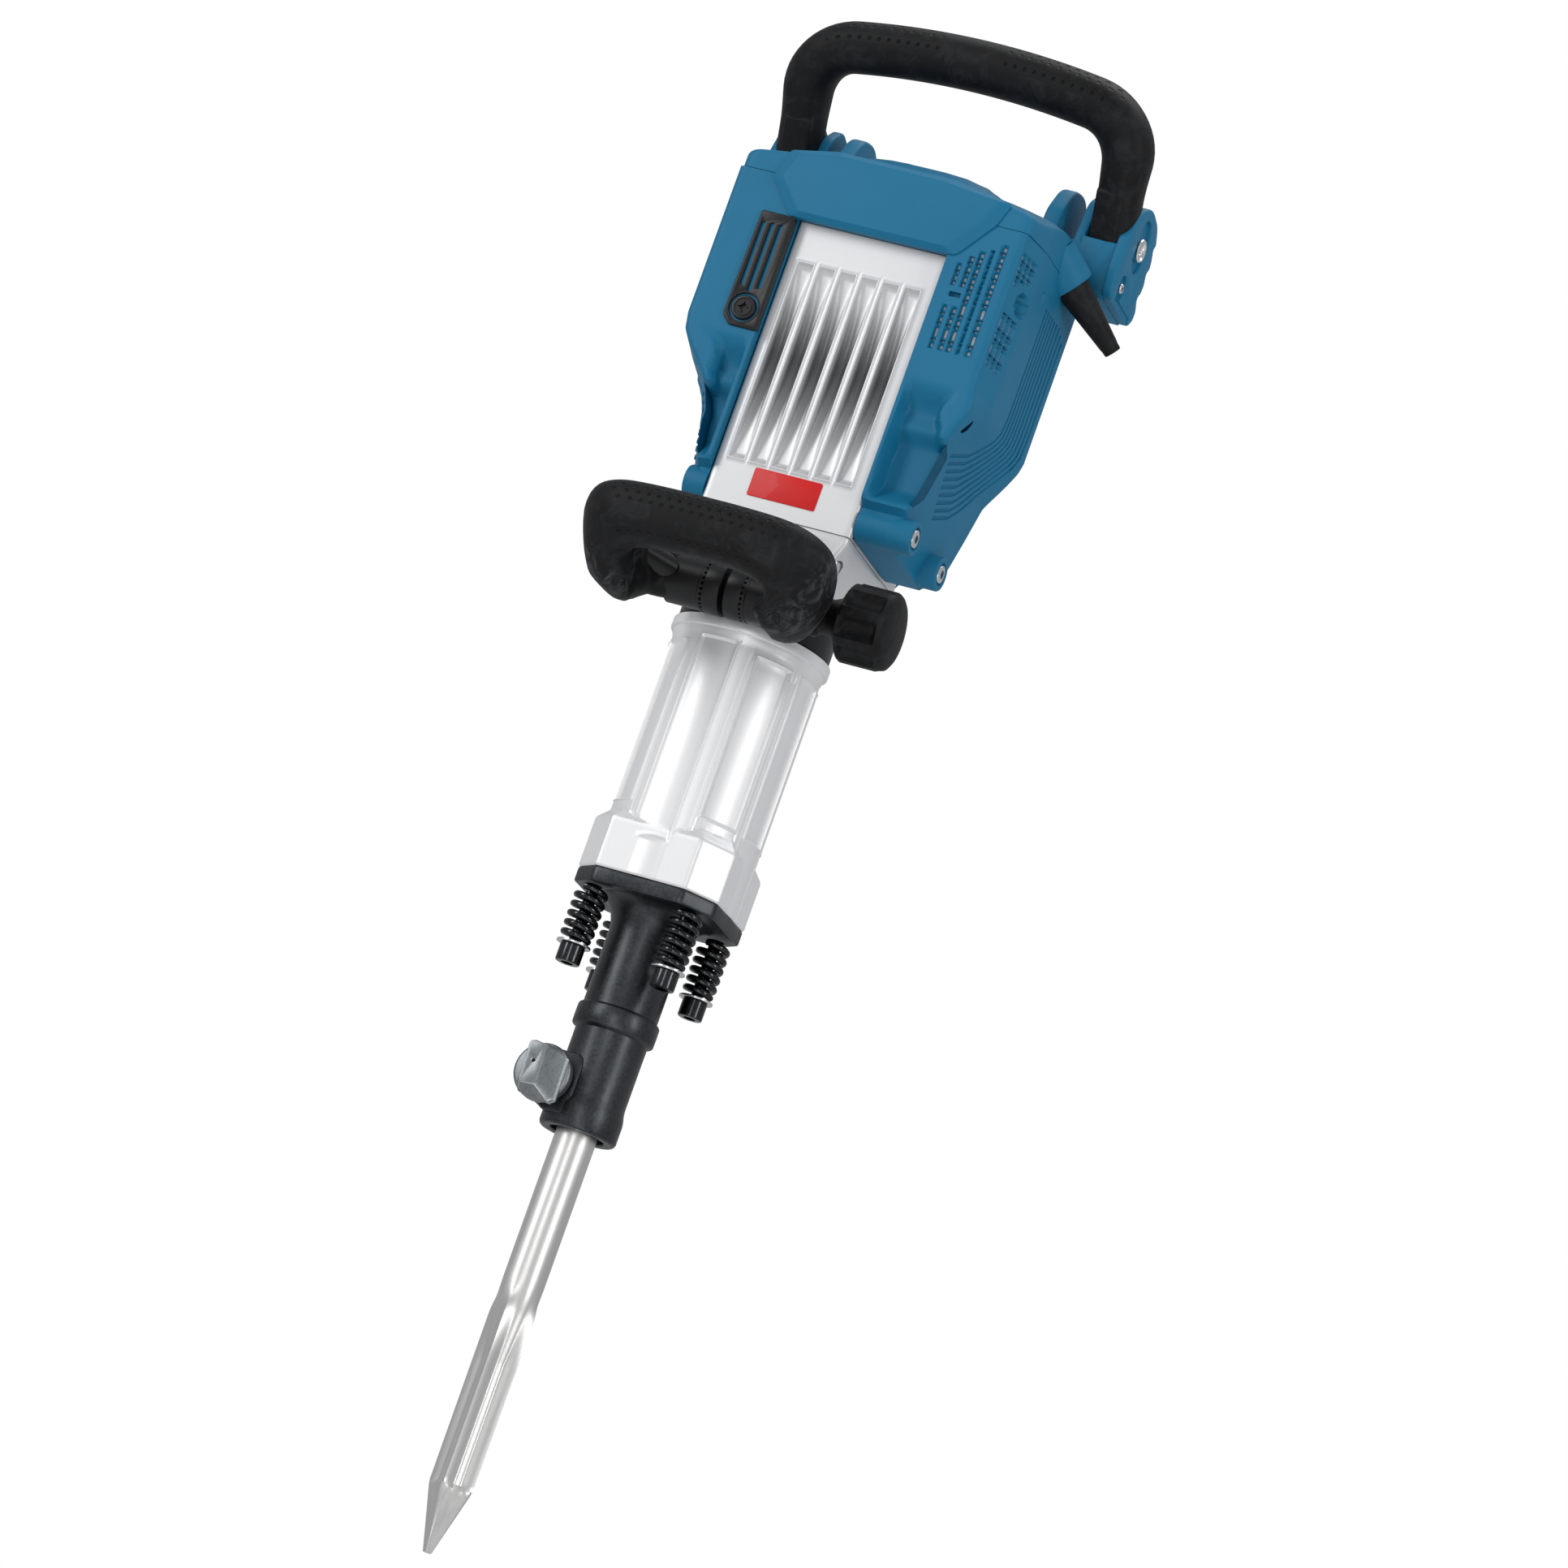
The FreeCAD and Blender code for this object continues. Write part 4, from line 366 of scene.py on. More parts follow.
# quads between rows of points, with the end rows capped
def skin(rows, closed=True, ends=True):
    count = len(rows[0])
    faces = []
    for r in range(len(rows) - 1):
        for c in range(count if closed else count - 1):
            d = (c + 1) % count
            faces.append((r * count + c, r * count + d, (r + 1) * count + d, (r + 1) * count + c))
    if ends:
        faces.append(tuple(range(count))[::-1])
        faces.append(tuple((len(rows) - 1) * count + c for c in range(count)))
    return [p for row in rows for p in row], faces


# corners rounded by the radius, or by their own third value
def softened(corners, radius, steps=5, closed=True):
    result = []
    count = len(corners)
    for k, corner in enumerate(corners):
        here = Vector(corner[:2])
        size = corner[2] if len(corner) > 2 else radius
        if size <= 0 or (not closed and k in (0, count - 1)):
            result.append(tuple(here))
            continue
        before = Vector(corners[k - 1][:2]) - here
        after = Vector(corners[(k + 1) % count][:2]) - here
        half = before.angle(after) / 2
        if abs(half - math.pi / 2) < 0.02:
            result.append(tuple(here))
            continue
        reach = min(size / math.tan(half), before.length * 0.48, after.length * 0.48)
        size = reach * math.tan(half)
        start, end = here + before.normalized() * reach, here + after.normalized() * reach
        centre = here + (before.normalized() + after.normalized()).normalized() * (size / math.sin(half))
        first, last = start - centre, end - centre
        turn = first.angle_signed(last)
        for s in range(steps + 1):
            spun = first.copy()
            spun.rotate(Matrix.Rotation(-turn * s / steps, 2))
            result.append(tuple(centre + spun))
    return result


# turns a piece made along Z to lie along the axis through the origin point
def standing(axis, origin=(0, 0, 0)):
    aim = Vector(axis).normalized()
    side = Vector((0, 0, 1)) if abs(aim.z) < 0.9 else Vector((1, 0, 0))
    first = (side - aim * side.dot(aim)).normalized()
    second = aim.cross(first)
    return Matrix(((first.x, second.x, aim.x, origin[0]), (first.y, second.y, aim.y, origin[1]),
            (first.z, second.z, aim.z, origin[2]), (0, 0, 0, 1)))


# (radius, height) pairs spun round Z; shape(r, z, a) changes the radius
def turned(name, profile, finish, around=64, shape=None, where=None, closed=False, angle=32):
    rows = []
    for r, z in profile:
        row = []
        for k in range(around):
            a = 2 * math.pi * k / around
            size = shape(r, z, a) if shape and r > 0.01 else r
            row.append(Vector((size * math.cos(a), size * math.sin(a), z)))
        rows.append(row)
    if closed:
        rows.append(rows[0])
    points, faces = skin(rows, ends=not closed)
    if where:
        points = [where @ p for p in points]
    return build(name, points, faces, finish, angle=angle)


# a flat outline between two levels, thick along the plane axis
def slab(name, outline, low, high, plane, finish, edge=1.0, steps=3):
    lay = {"X": lambda u, v, w: (w, u, v), "Y": lambda u, v, w: (u, w, v),
            "Z": lambda u, v, w: (u, v, w)}[plane]
    rows = [[lay(u, v, w) for u, v in outline] for w in (low, high)]
    points, faces = skin(rows)
    item = build(name, points, faces, finish)
    return edged(item, edge, steps) if edge else item


# a copy of a frame node with its edges rounded
def softCopy(node, finish, edge=0.6, name=None, limit=32, steps=2):
    source = frame["nodes"][node] if not isinstance(frame["nodes"][node], str) else bpy.data.objects[node]
    shape = bmesh.new()
    shape.from_mesh(source.data)
    bmesh.ops.remove_doubles(shape, verts=shape.verts, dist=1e-6)
    bmesh.ops.dissolve_limit(shape, angle_limit=math.radians(1.0), verts=shape.verts, edges=shape.edges)
    bmesh.ops.recalc_face_normals(shape, faces=shape.faces)
    mesh = bpy.data.meshes.new(name or node)
    shape.to_mesh(mesh)
    shape.free()
    mesh.materials.clear()
    mesh.materials.append(finish)
    item = bpy.data.objects.new(name or node + "Soft", mesh)
    scene.collection.objects.link(item)
    if edge:
        edged(item, edge, steps, limit)
    smoothed(item.data, 36)
    return item


# the piece stands for the node: same body, and the node is hidden
def settle(item, node, *others):
    item.data.name = item.name
    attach(item, bodyOf[node])
    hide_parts(node, *others)
    return item


def between(value, start, end):
    return min(1.0, max(0.0, (value - start) / (end - start)))


def ease(value, start, end):
    t = between(value, start, end)
    return t * t * (3 - 2 * t)


# straight-line reading of a table of (place, value)
def follow(value, table):
    for (a, b), (c, d) in zip(table, table[1:]):
        if value <= c:
            return b + (d - b) * between(value, a, c)
    return table[-1][1]


# every mark, and enough places between them to keep to the gap
def spread(marks, gap):
    marks = sorted(set(round(m, 4) for m in marks))
    result = [marks[0]]
    for m in marks[1:]:
        parts = max(1, math.ceil((m - result[-1]) / gap))
        start = result[-1]
        result += [start + (m - start) * k / parts for k in range(1, parts + 1)]
    return result


def studio():
    view = {"turn": 20.189, "rise": -12.524, "roll": -19.591, "distance": 5.0, "scale": 2.00883,
            "originX": 710.153, "originY": 1399.363, "frameSize": 1932}
    a, e, r = (math.radians(view[k]) for k in ("turn", "rise", "roll"))
    back = Vector((math.sin(a) * math.cos(e), -math.cos(a) * math.cos(e), math.sin(e)))
    right = Vector((math.cos(a), math.sin(a), 0))
    up = back.cross(right)
    across = right * math.cos(r) - up * math.sin(r)
    upward = right * math.sin(r) + up * math.cos(r)
    half = view["frameSize"] / 2
    shiftX = (view["originX"] - half) / view["scale"] / 1000
    shiftY = -(view["originY"] - half) / view["scale"] / 1000
    spot = back * view["distance"] - across * shiftX - upward * shiftY
    lens = bpy.data.cameras.new("camera")
    lens.sensor_width = 36
    lens.lens = view["scale"] * view["distance"] * 1000 / view["frameSize"] * 36
    lens.clip_start, lens.clip_end = 0.5, 60
    camera = bpy.data.objects.new("camera", lens)
    scene.collection.objects.link(camera)
    camera.matrix_world = Matrix(((across.x, upward.x, back.x, spot.x), (across.y, upward.y, back.y, spot.y),
            (across.z, upward.z, back.z, spot.z), (0, 0, 0, 1)))
    scene.camera = camera

    world = bpy.data.worlds.new("studio")
    scene.world = world
    world.use_nodes = True
    nodes, link = world.node_tree.nodes, world.node_tree.links.new
    soft, bright = nodes["Background"], nodes.new("ShaderNodeBackground")
    soft.inputs[0].default_value, soft.inputs[1].default_value = (0.95, 0.97, 1, 1), 0.45
    bright.inputs[0].default_value, bright.inputs[1].default_value = (1, 1, 1, 1), 1.0
    path, mix = nodes.new("ShaderNodeLightPath"), nodes.new("ShaderNodeMixShader")
    link(path.outputs["Is Camera Ray"], mix.inputs[0])
    link(soft.outputs[0], mix.inputs[1])
    link(bright.outputs[0], mix.inputs[2])
    link(mix.outputs[0], nodes["World Output"].inputs[0])
    lamps = [("keyLamp", (-1.9, -2.3, 1.5), 0.7, 2.4, 40), ("fillLamp", (2.9, -1.2, 0.9), 0.6, 2.2, 27),
            ("topLamp", (0.2, 0.6, 3.2), 2.0, 2.0, 34), ("frontLamp", (0.5, -3.4, 0.2), 0.45, 1.8, 14),
            ("underLamp", (0.9, -2.4, -1.3), 1.4, 1.4, 10)]
    for name, place, wide, tall, power in lamps:
        light = bpy.data.lights.new(name, "AREA")
        light.shape, light.size, light.size_y, light.energy = "RECTANGLE", wide, tall, power
        lamp = bpy.data.objects.new(name, light)
        lamp.location = place
        lamp.rotation_euler = (Vector((0, 0, 0.3)) - Vector(place)).to_track_quat("-Z", "Y").to_euler()
        scene.collection.objects.link(lamp)
    scene.view_settings.view_transform = "Standard"

    pale = Recipe("paleFloor", roughness=0.85)
    pale.colour((0.86, 0.86, 0.86))
    corners = [(x * 6000, y * 6000, -1900) for x, y in ((-1, -1), (1, -1), (1, 1), (-1, 1))]
    floor = build("floor", corners, [(0, 1, 2, 3)], pale.finish)


studio()
print("camera and lights set")


def motorCase():
    v = {"halfWidth": 51, "front": -38, "back": 71.8, "bottom": 401, "top": 592, "slabBack": -20.5,
            "grooves": 6, "firstGroove": -43, "grooveWidth": 10.4, "groovePitch": 14.6, "grooveBottom": 433,
            "grooveTop": 566, "deepest": 9.2, "shallow": 3.2, "lip": 0.35, "wall": 6, "darkest": 6}
    starts = [v["firstGroove"] + v["groovePitch"] * k for k in range(v["grooves"])]
    middle = (v["grooveBottom"] + v["grooveTop"]) / 2
    half = (v["grooveTop"] - v["grooveBottom"]) / 2

    def depth(x, z):
        for start in starts:
            inX = min(x - start, start + v["grooveWidth"] - x)
            inZ = min(z - v["grooveBottom"], v["grooveTop"] - z)
            inside = min(inX, inZ)
            if -1.3 < inside < 0:
                return -v["lip"] * math.sin(math.pi * (inside + 1.3) / 1.3)
            if inside >= 0:
                bend = max(0, 1 - (abs(z - middle) / half) ** 2) ** 1.4
                share = (x - start) / v["grooveWidth"]
                bowl = 1 - abs(2 * share - 1) ** 2.4
                floor = v["shallow"] + (v["deepest"] - v["shallow"]) * bend * (0.35 + 0.65 * bowl)
                return min(floor, 9 * inX + 0.01, 0.9 * inZ + 0.4 * min(inZ, 1) + 0.01)
        return 0

    edge = 2.6
    marksX = [-v["halfWidth"] + edge, v["halfWidth"] - edge]
    for start in starts:
        for d in (-1.3, -1.0, -0.65, -0.3, 0, 0.12, 0.6, 1.2, 2.2, 3.6, v["grooveWidth"] / 2):
            marksX += [start + d, start + v["grooveWidth"] - d]
    xs = spread(marksX, 3)
    marksZ = [v["bottom"], v["top"]]
    for d in (-1.3, -1.0, -0.65, -0.3, 0, 0.12, 0.5, 1, 2, 3.2, 4.5, 6, 9):
        marksZ += [v["grooveBottom"] + d, v["grooveTop"] - d]
    zs = spread(marksZ, 3)
    rows = []
    for z in zs:
        row = [(-v["halfWidth"], v["slabBack"], z)]
        for k in range(5):
            a = math.pi / 2 * k / 5
            row.append((-v["halfWidth"] + edge * (1 - math.cos(a)), v["front"] + edge * (1 - math.sin(a)), z))
        row += [(x, v["front"] + depth(x, z), z) for x in xs]
        for k in range(1, 6):
            a = math.pi / 2 * k / 5
            row.append((v["halfWidth"] - edge * (1 - math.sin(a)), v["front"] + edge * (1 - math.cos(a)), z))
        row.append((v["halfWidth"], v["slabBack"], z))
        rows.append(row)
    points, faces = skin(rows)
    # painted shade: darkest in the middle of each groove and where its floor lies deep, kept in the pits
    # attribute
    marks = []
    for x, y, z in points:
        dark = max(0, 1 - (abs(z - middle - v["darkest"]) / half) ** 1.5) ** 1.3
        marks.append(dark * ease(y, v["front"] + 2.5, v["front"] + 7.5))
    panel = build("ribbedPanel", points, faces, shadedSilver, pits=marks, angle=38)
    w, t = v["halfWidth"] - 0.3, v["wall"]
    shell = slab("caseShell", [(-w, v["slabBack"] - 0.4), (-w, v["back"]), (w, v["back"]),
            (w, v["slabBack"] - 0.4), (w - t, v["slabBack"] - 0.4), (w - t, v["back"] - t),
            (t - w, v["back"] - t), (t - w, v["slabBack"] - 0.4)], v["bottom"], v["top"], "Z", silver, 0.5)
    settle(joinKeeping("motorCase", panel, [shell]), "motor_housing")


def roundedRect(halfX, front, back, corner, steps=5):
    return softened([(-halfX, front), (halfX, front), (halfX, back), (-halfX, back)], corner, steps)


def lowerCase():
    v = {"levels": [(358, 43, -34, 45, 7), (360, 44.2, -36, 46.5, 7), (374, 44.5, -36.5, 47, 7),
            (380, 45.2, -36.8, 50, 6.5), (396, 50.6, -37.9, 68, 4), (399.8, 50.9, -38, 70, 3.2),
            (400.6, 50.4, -37.5, 69.5, 3.2)], "screwX": 41, "screwFront": -27, "screwBack": 58, "pocket": 8.4,
            "pocketTop": 388}
    rows = []
    for z, half, front, back, corner in v["levels"]:
        rows.append([(x, y, z) for x, y in roundedRect(half, front, back, corner)])
    points, faces = skin(rows)
    case = build("lowerCase", points, faces, silver)
    tools = []
    for x in (-v["screwX"], v["screwX"]):
        for y in (v["screwFront"], v["screwBack"]):
            tools.append(turned("pocketTool", [(v["pocket"], 350), (v["pocket"], v["pocketTop"] - 2),
                    (v["pocket"] - 2, v["pocketTop"])], silver, 40, where=Matrix.Translation((x, y, 0))))
    tools.append(slab("borrow", roundedRect(36, -26, 36, 5), 350, 396, "Z", silver, 0))
    cut(case, *tools)
    edged(case, 0.7, 2, 40)
    settle(case, "lower_housing")


motorCase()
lowerCase()
print("motor case made")


def barrel():
    v = {"bottom": 157.3, "radius": 48.4, "rim": 51.5, "rimBottom": 322, "rimTop": 329, "neck": 44,
            "flat": 47.6, "diagonal": 55.0, "blockTop": 190, "blockSlope": 0.95, "channelLeft": -19,
            "channelRight": 10, "channelBottom": 184, "channelDepth": 1.7,
            "frames": [42, 82, 122, 162, -162, -122, -82, -46], "frameHalf": 13.5, "frameBottom": 205,
            "frameTop": 311, "frameDepth": 1.7, "bore": 38}

    def wrap(a):
        return (a + 180) % 360 - 180

    def radius(a, z):
        if z > v["rimTop"]:
            return v["neck"]
        if z >= v["rimBottom"]:
            return v["rim"]
        c = wrap(a)
        size = v["radius"] + 1.2 * ease(z, 316, 321)
        trim = 1.0 * (1 - ease(z, 303, 318))
        if v["channelLeft"] - 3 < c < v["channelRight"] + 3 and z < 320:
            inside = min(c - v["channelLeft"], v["channelRight"] - c) * 0.85
            low = min(inside, (z - v["channelBottom"]) * 0.8, (316 - z))
            if low > 0:
                size -= min(v["channelDepth"], low * 1.6)
            elif low > -2.2:
                size += 0.7 * math.sin(math.pi * (low + 2.2) / 2.2)
        for middle in v["frames"]:
            d = abs(wrap(a - middle))
            if d < v["frameHalf"] + 6:
                inside = min((v["frameHalf"] - d) * 0.85, z - v["frameBottom"], v["frameTop"] - z)
                if inside > 0:
                    size -= min(v["frameDepth"], inside * 1.8)
                elif inside > -2.0:
                    size += 0.95 * math.sin(math.pi * (inside + 2.0) / 2.0)
                outer = (d - v["frameHalf"] - 4.4) * 0.85
                if abs(outer) < 0.9 and z < 318:
                    size += 0.7 * math.cos(math.pi * outer / 1.8) * trim
        side, front = abs(math.sin(math.radians(a))), abs(math.cos(math.radians(a)))
        corner = abs(side + front) / math.sqrt(2)
        block = min(v["flat"] / max(side, front), v["diagonal"] / corner)
        block -= max(0, z - v["blockTop"]) * v["blockSlope"]
        if z < v["blockTop"] + 30:
            size = max(size, block)
        return size

    angles = [-180 + 1.5 * k for k in range(240)]
    for middle in v["frames"]:
        for edge in (v["frameHalf"], v["frameHalf"] + 2.3, v["frameHalf"] + 4.4, v["frameHalf"] - 0.8):
            angles += [middle - edge, middle + edge]
    for edge in (v["channelLeft"], v["channelRight"], v["channelLeft"] - 2.5, v["channelRight"] + 2.5,
            v["channelLeft"] + 1.2, v["channelRight"] - 1.2):
        angles.append(edge)
    angles = sorted(set(round(wrap(a), 3) for a in angles))
    marks = [v["bottom"], v["bottom"] + 1.2, v["channelBottom"] - 2.7, v["channelBottom"],
            v["channelBottom"] + 1.4, v["frameBottom"] - 2, v["frameBottom"] - 1, v["frameBottom"],
            v["frameBottom"] + 0.8, v["frameTop"] - 0.8, v["frameTop"], v["frameTop"] + 1, v["frameTop"] + 2,
            321.6, 321.9]
    heights = spread(marks, 1.9)
    rows = []

    def ring(z, size=None, grow=0.0):
        row = []
        for a in angles:
            r = size if size else radius(a, z) + grow
            row.append((r * math.sin(math.radians(a)), -r * math.cos(math.radians(a)), z))
        return row

    rows.append(ring(v["bottom"], v["bore"]))
    rows.append(ring(v["bottom"], grow=-1.0))
    rows += [ring(z) for z in heights[1:]]
    for z, size in ((322, 50.6), (322.4, 51.3), (323, 51.5), (328, 51.5), (328.7, 51.2), (329, 50.4),
            (329.1, 44), (357, 44), (357, v["bore"])):
        rows.append(ring(z, size))
    rows.append(rows[0])
    points, faces = skin(rows, ends=False)
    # the barrel takes the lighter copy of the silver paint: painted light
    settle(build("hammerBarrel", points, faces, litSilver, angle=30), "barrel_housing")


barrel()
print("barrel made")


def toolHolder():
    v = {"profile": [(17.5, 76), (17.5, 0.8), (18.4, 0), (23.2, 0), (24.3, 0.8), (24.9, 2.4), (24.9, 14),
            (24.5, 17), (23.6, 20.5), (23.2, 24), (23.2, 56), (23.3, 64.6), (24.0, 65.2), (25.9, 66.2),
            (26.4, 67.0), (26.5, 73), (26.4, 78.6), (25.9, 79.5), (24.3, 80.4), (24, 81.4), (24, 128),
            (24.6, 133), (26.4, 138.5), (29.6, 143.2), (34, 146.2), (38, 147.4)], "flangeBottom": 147.5,
            "flangeTop": 157, "bossX": -22, "bossZ": 26, "bossHalf": 25.6}
    tube = turned("holderTube", softened([(r, z) for r, z in v["profile"]], 0.0, closed=False), holderSteel,
            96)
    corners = [(-47.4, -30, 6), (-30, -47.4, 6), (30, -47.4, 6), (47.4, -30, 6), (47.4, 30, 6), (30, 47.4, 6),
            (-30, 47.4, 6), (-47.4, 30, 6)]
    flange = slab("holderFlange", softened(corners, 6, 6), v["flangeBottom"], v["flangeTop"], "Z",
            holderSteel, 1.3, 3)
    cut(flange, *[turned("screwHoleTool", [(5.2, 140), (5.2, 165)], holderSteel, 32,
            where=Matrix.Translation((x, y, 0))) for x in (-32, 32) for y in (-32, 32)])
    b = v["bossHalf"]
    boss = turned("holderBoss", [(9.2, -b + 2), (9.2, -b), (14.6, -b), (16, -b + 0.8), (16.5, -b + 2.2),
            (16.5, b - 2.2), (16, b - 0.8), (14.6, b), (9.2, b), (9.2, b - 2)], holderSteel, 64,
            where=standing((0, 1, 0), (v["bossX"], 0, v["bossZ"])))
    cheek = slab("holderCheek", softened([(-22, 6), (-4.5, 6), (-2.5, 12), (-2.5, 38), (-5, 45), (-22, 45)],
            4, 5), -24.3, -14, "Y", holderSteel, 1.2, 3)
    settle(merged("toolHolder", [tube, flange, boss, cheek]), "tool_holder")


def chiselRod():
    v = {"radius": 13.15, "shoulder": 14.9, "tip": -272, "fluteStart": -93, "widest": -121, "neck": -228,
            "valley": 8.3}

    def shape(r, z, a):
        if z > v["fluteStart"]:
            return r
        side, front = abs(math.cos(a)), abs(math.sin(a))
        spin = abs(((a + math.pi / 4) % (math.pi / 2)) - math.pi / 4)  # 0 on the ridges
        if z > v["neck"]:
            share = ease(z, v["fluteStart"], v["widest"])
            ridge = v["radius"] + (v["shoulder"] - v["radius"]) * share
            ridge -= 0.4 * between(z, v["widest"], v["neck"])
            valley = v["radius"] - (v["radius"] - v["valley"]) * between(z, -96, -150)
            hollow = valley + (ridge - valley) * (1 - min(1, (spin / (math.pi / 4)) * 1.5)) ** 1.6
            along = (z - v["widest"]) / (v["fluteStart"] - v["widest"])
            mixed = hollow if z < v["widest"] else hollow + (v["radius"] - hollow) * between(along, 0.15, 1.0)
            return min(ridge, mixed)
        share = between(z, v["neck"], v["tip"])
        size = 10.6 * (1 - share) + 2.0 * share
        square = size * math.sqrt(2) / (side + front)
        blunt = 14.5 * (1 - share) + 2.9 * share
        valley = v["valley"] + 0.2
        hollow = valley + (14.5 - valley) * (1 - min(1, (spin / (math.pi / 4)) * 1.5)) ** 1.6
        return min(blunt, square * 1.06, hollow + 30 * share)

    heights = spread([58, 0, -90, v["fluteStart"], -100, v["widest"], -150, -200, v["neck"]], 2.4)[::-1]
    heights += [-228 - 1.6 * k for k in range(1, 28)] + [v["tip"]]
    profile = [(v["radius"], z) for z in sorted(set(heights), reverse=True)]
    profile = [(v["radius"] - 1, 59)] + profile
    settle(turned("pointChisel", profile, toolSteel, 128, shape, angle=24), "chisel")


# geometry nodes: one copy of the master on each spot
def repeated(name, master, spots, finish):
    cloud = bpy.data.meshes.new(name + "Spots")
    cloud.from_pydata([(x / 1000, y / 1000, z / 1000) for x, y, z in spots], [], [])
    item = bpy.data.objects.new(name, cloud)
    scene.collection.objects.link(item)
    tree = bpy.data.node_groups.new(name + "Tree", "GeometryNodeTree")
    tree.interface.new_socket("Geometry", in_out="INPUT", socket_type="NodeSocketGeometry")
    partSocket = tree.interface.new_socket("Part", in_out="INPUT", socket_type="NodeSocketObject")
    sizeSocket = tree.interface.new_socket("Size", in_out="INPUT", socket_type="NodeSocketFloat")
    sizeSocket.default_value = 1.0
    tree.interface.new_socket("Geometry", in_out="OUTPUT", socket_type="NodeSocketGeometry")
    add = tree.nodes.new
    source, result = add("NodeGroupInput"), add("NodeGroupOutput")
    info, place = add("GeometryNodeObjectInfo"), add("GeometryNodeInstanceOnPoints")
    real, paint = add("GeometryNodeRealizeInstances"), add("GeometryNodeSetMaterial")
    paint.inputs["Material"].default_value = finish
    link = tree.links.new
    link(source.outputs["Geometry"], place.inputs["Points"])
    link(source.outputs["Part"], info.inputs["Object"])
    link(info.outputs["Geometry"], place.inputs["Instance"])
    link(source.outputs["Size"], place.inputs["Scale"])
    link(place.outputs["Instances"], real.inputs["Geometry"])
    link(real.outputs["Geometry"], paint.inputs["Geometry"])
    link(paint.outputs["Geometry"], result.inputs["Geometry"])
    modifier = item.modifiers.new("copies", "NODES")
    modifier.node_group = tree
    modifier[partSocket.identifier] = master
    modifier[sizeSocket.identifier] = 1.0
    applied(item, 34)
    bpy.data.objects.remove(master)
    return item


# geometry nodes: a compression spring standing on Z
def springCoil():
    values = {"Coil Radius": 0.0085, "Wire Radius": 0.00215, "Turns": 5.3, "Height": 0.0325}
    tree = bpy.data.node_groups.new("springTree", "GeometryNodeTree")
    sockets = {}
    for word in values:
        sockets[word] = tree.interface.new_socket(word, in_out="INPUT", socket_type="NodeSocketFloat")
    tree.interface.new_socket("Geometry", in_out="OUTPUT", socket_type="NodeSocketGeometry")
    add, link = tree.nodes.new, tree.links.new
    source, result = add("NodeGroupInput"), add("NodeGroupOutput")
    spiral, circle = add("GeometryNodeCurveSpiral"), add("GeometryNodeCurvePrimitiveCircle")
    sweep = add("GeometryNodeCurveToMesh")
    real, paint = add("GeometryNodeRealizeInstances"), add("GeometryNodeSetMaterial")
    spiral.inputs["Resolution"].default_value = 40
    circle.inputs["Resolution"].default_value = 18
    sweep.inputs["Fill Caps"].default_value = True
    paint.inputs["Material"].default_value = springSteel
    link(source.outputs["Coil Radius"], spiral.inputs["Start Radius"])
    link(source.outputs["Coil Radius"], spiral.inputs["End Radius"])
    link(source.outputs["Turns"], spiral.inputs["Rotations"])
    link(source.outputs["Height"], spiral.inputs["Height"])
    link(source.outputs["Wire Radius"], circle.inputs["Radius"])
    link(spiral.outputs["Curve"], sweep.inputs["Curve"])
    link(circle.outputs["Curve"], sweep.inputs["Profile Curve"])
    link(sweep.outputs["Mesh"], real.inputs["Geometry"])
    link(real.outputs["Geometry"], paint.inputs["Geometry"])
    link(paint.outputs["Geometry"], result.inputs["Geometry"])
    item = bpy.data.objects.new("springMaster", bpy.data.meshes.new("springMaster"))
    scene.collection.objects.link(item)
    modifier = item.modifiers.new("spring", "NODES")
    modifier.node_group = tree
    for word, value in values.items():
        modifier[sockets[word].identifier] = value
    return applied(item, 60)


# the head's bottom is at z = 0 and the shank goes up
def socketScrew(name, head, length, shank, shankLength, finish, hexagon=None):
    hexagon = hexagon or head * 0.55
    body = turned(name, [(0, 0.02), (head - 1.6, 0.02), (head - 0.7, 0), (head - 0.15, 0.35), (head, 1.1),
            (head, length - 0.3), (head - 0.3, length), (shank, length), (shank, length + shankLength),
            (0, length + shankLength)], finish, 40)
    tool = turned("hexTool", [(hexagon, -2), (hexagon, length * 0.55), (0, length * 0.55 + 1.5)], finish, 6)
    return cut(body, tool)


def springSet():
    v = {"spacing": 32, "headBottom": 96, "headRadius": 7.9, "headLength": 11.4, "shank": 4,
            "shankLength": 36, "washerBottom": 107.6, "washerRadius": 11, "washerThickness": 1.5,
            "coilBottom": 111.7, "coilAnchor": 0.1095, "coilKeep": 0.78}
    corners = [(x * v["spacing"], y * v["spacing"]) for x in (-1, 1) for y in (-1, 1)]
    screws = repeated("springScrews", socketScrew("screwMaster", v["headRadius"], v["headLength"], v["shank"],
            v["shankLength"], springSteel), [(x, y, v["headBottom"]) for x, y in corners], springSteel)
    settle(screws, "spring_screws")
    t = v["washerThickness"]
    ring = turned("washerMaster", softened([(4.3, 0), (v["washerRadius"], 0), (v["washerRadius"], t),
            (4.3, t)], 0.4, 3), springSteel, 40, closed=True)
    settle(repeated("springWashers", ring, [(x, y, v["washerBottom"]) for x, y in corners], brightSteel),
            "spring_washers")
    coils = repeated("holderSprings", springCoil(), [(x, y, v["coilBottom"]) for x, y in corners],
            springSteel)
    settle(coils, "holder_springs")
    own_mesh(coils)


toolHolder()
chiselRod()
springSet()
print("tool holder, chisel and springs made")


coverWidth = [(402, 76.5), (408, 77), (430, 82), (447, 85.4), (470, 89.6), (486, 95.4), (498, 101),
        (505, 102.6)]


leftLean = [(402, 19), (447, 19), (458, 20.5), (475, 17), (492, 10), (505, 4.5), (516, 2.5)]


def coverLean(side, z):
    return 5 * ease(z, 492, 516) if side > 0 else follow(z, leftLean)


def leanShare(lean, y):
    return 1 - between(y, -41, -14 + 30 * between(lean, 5, 15))


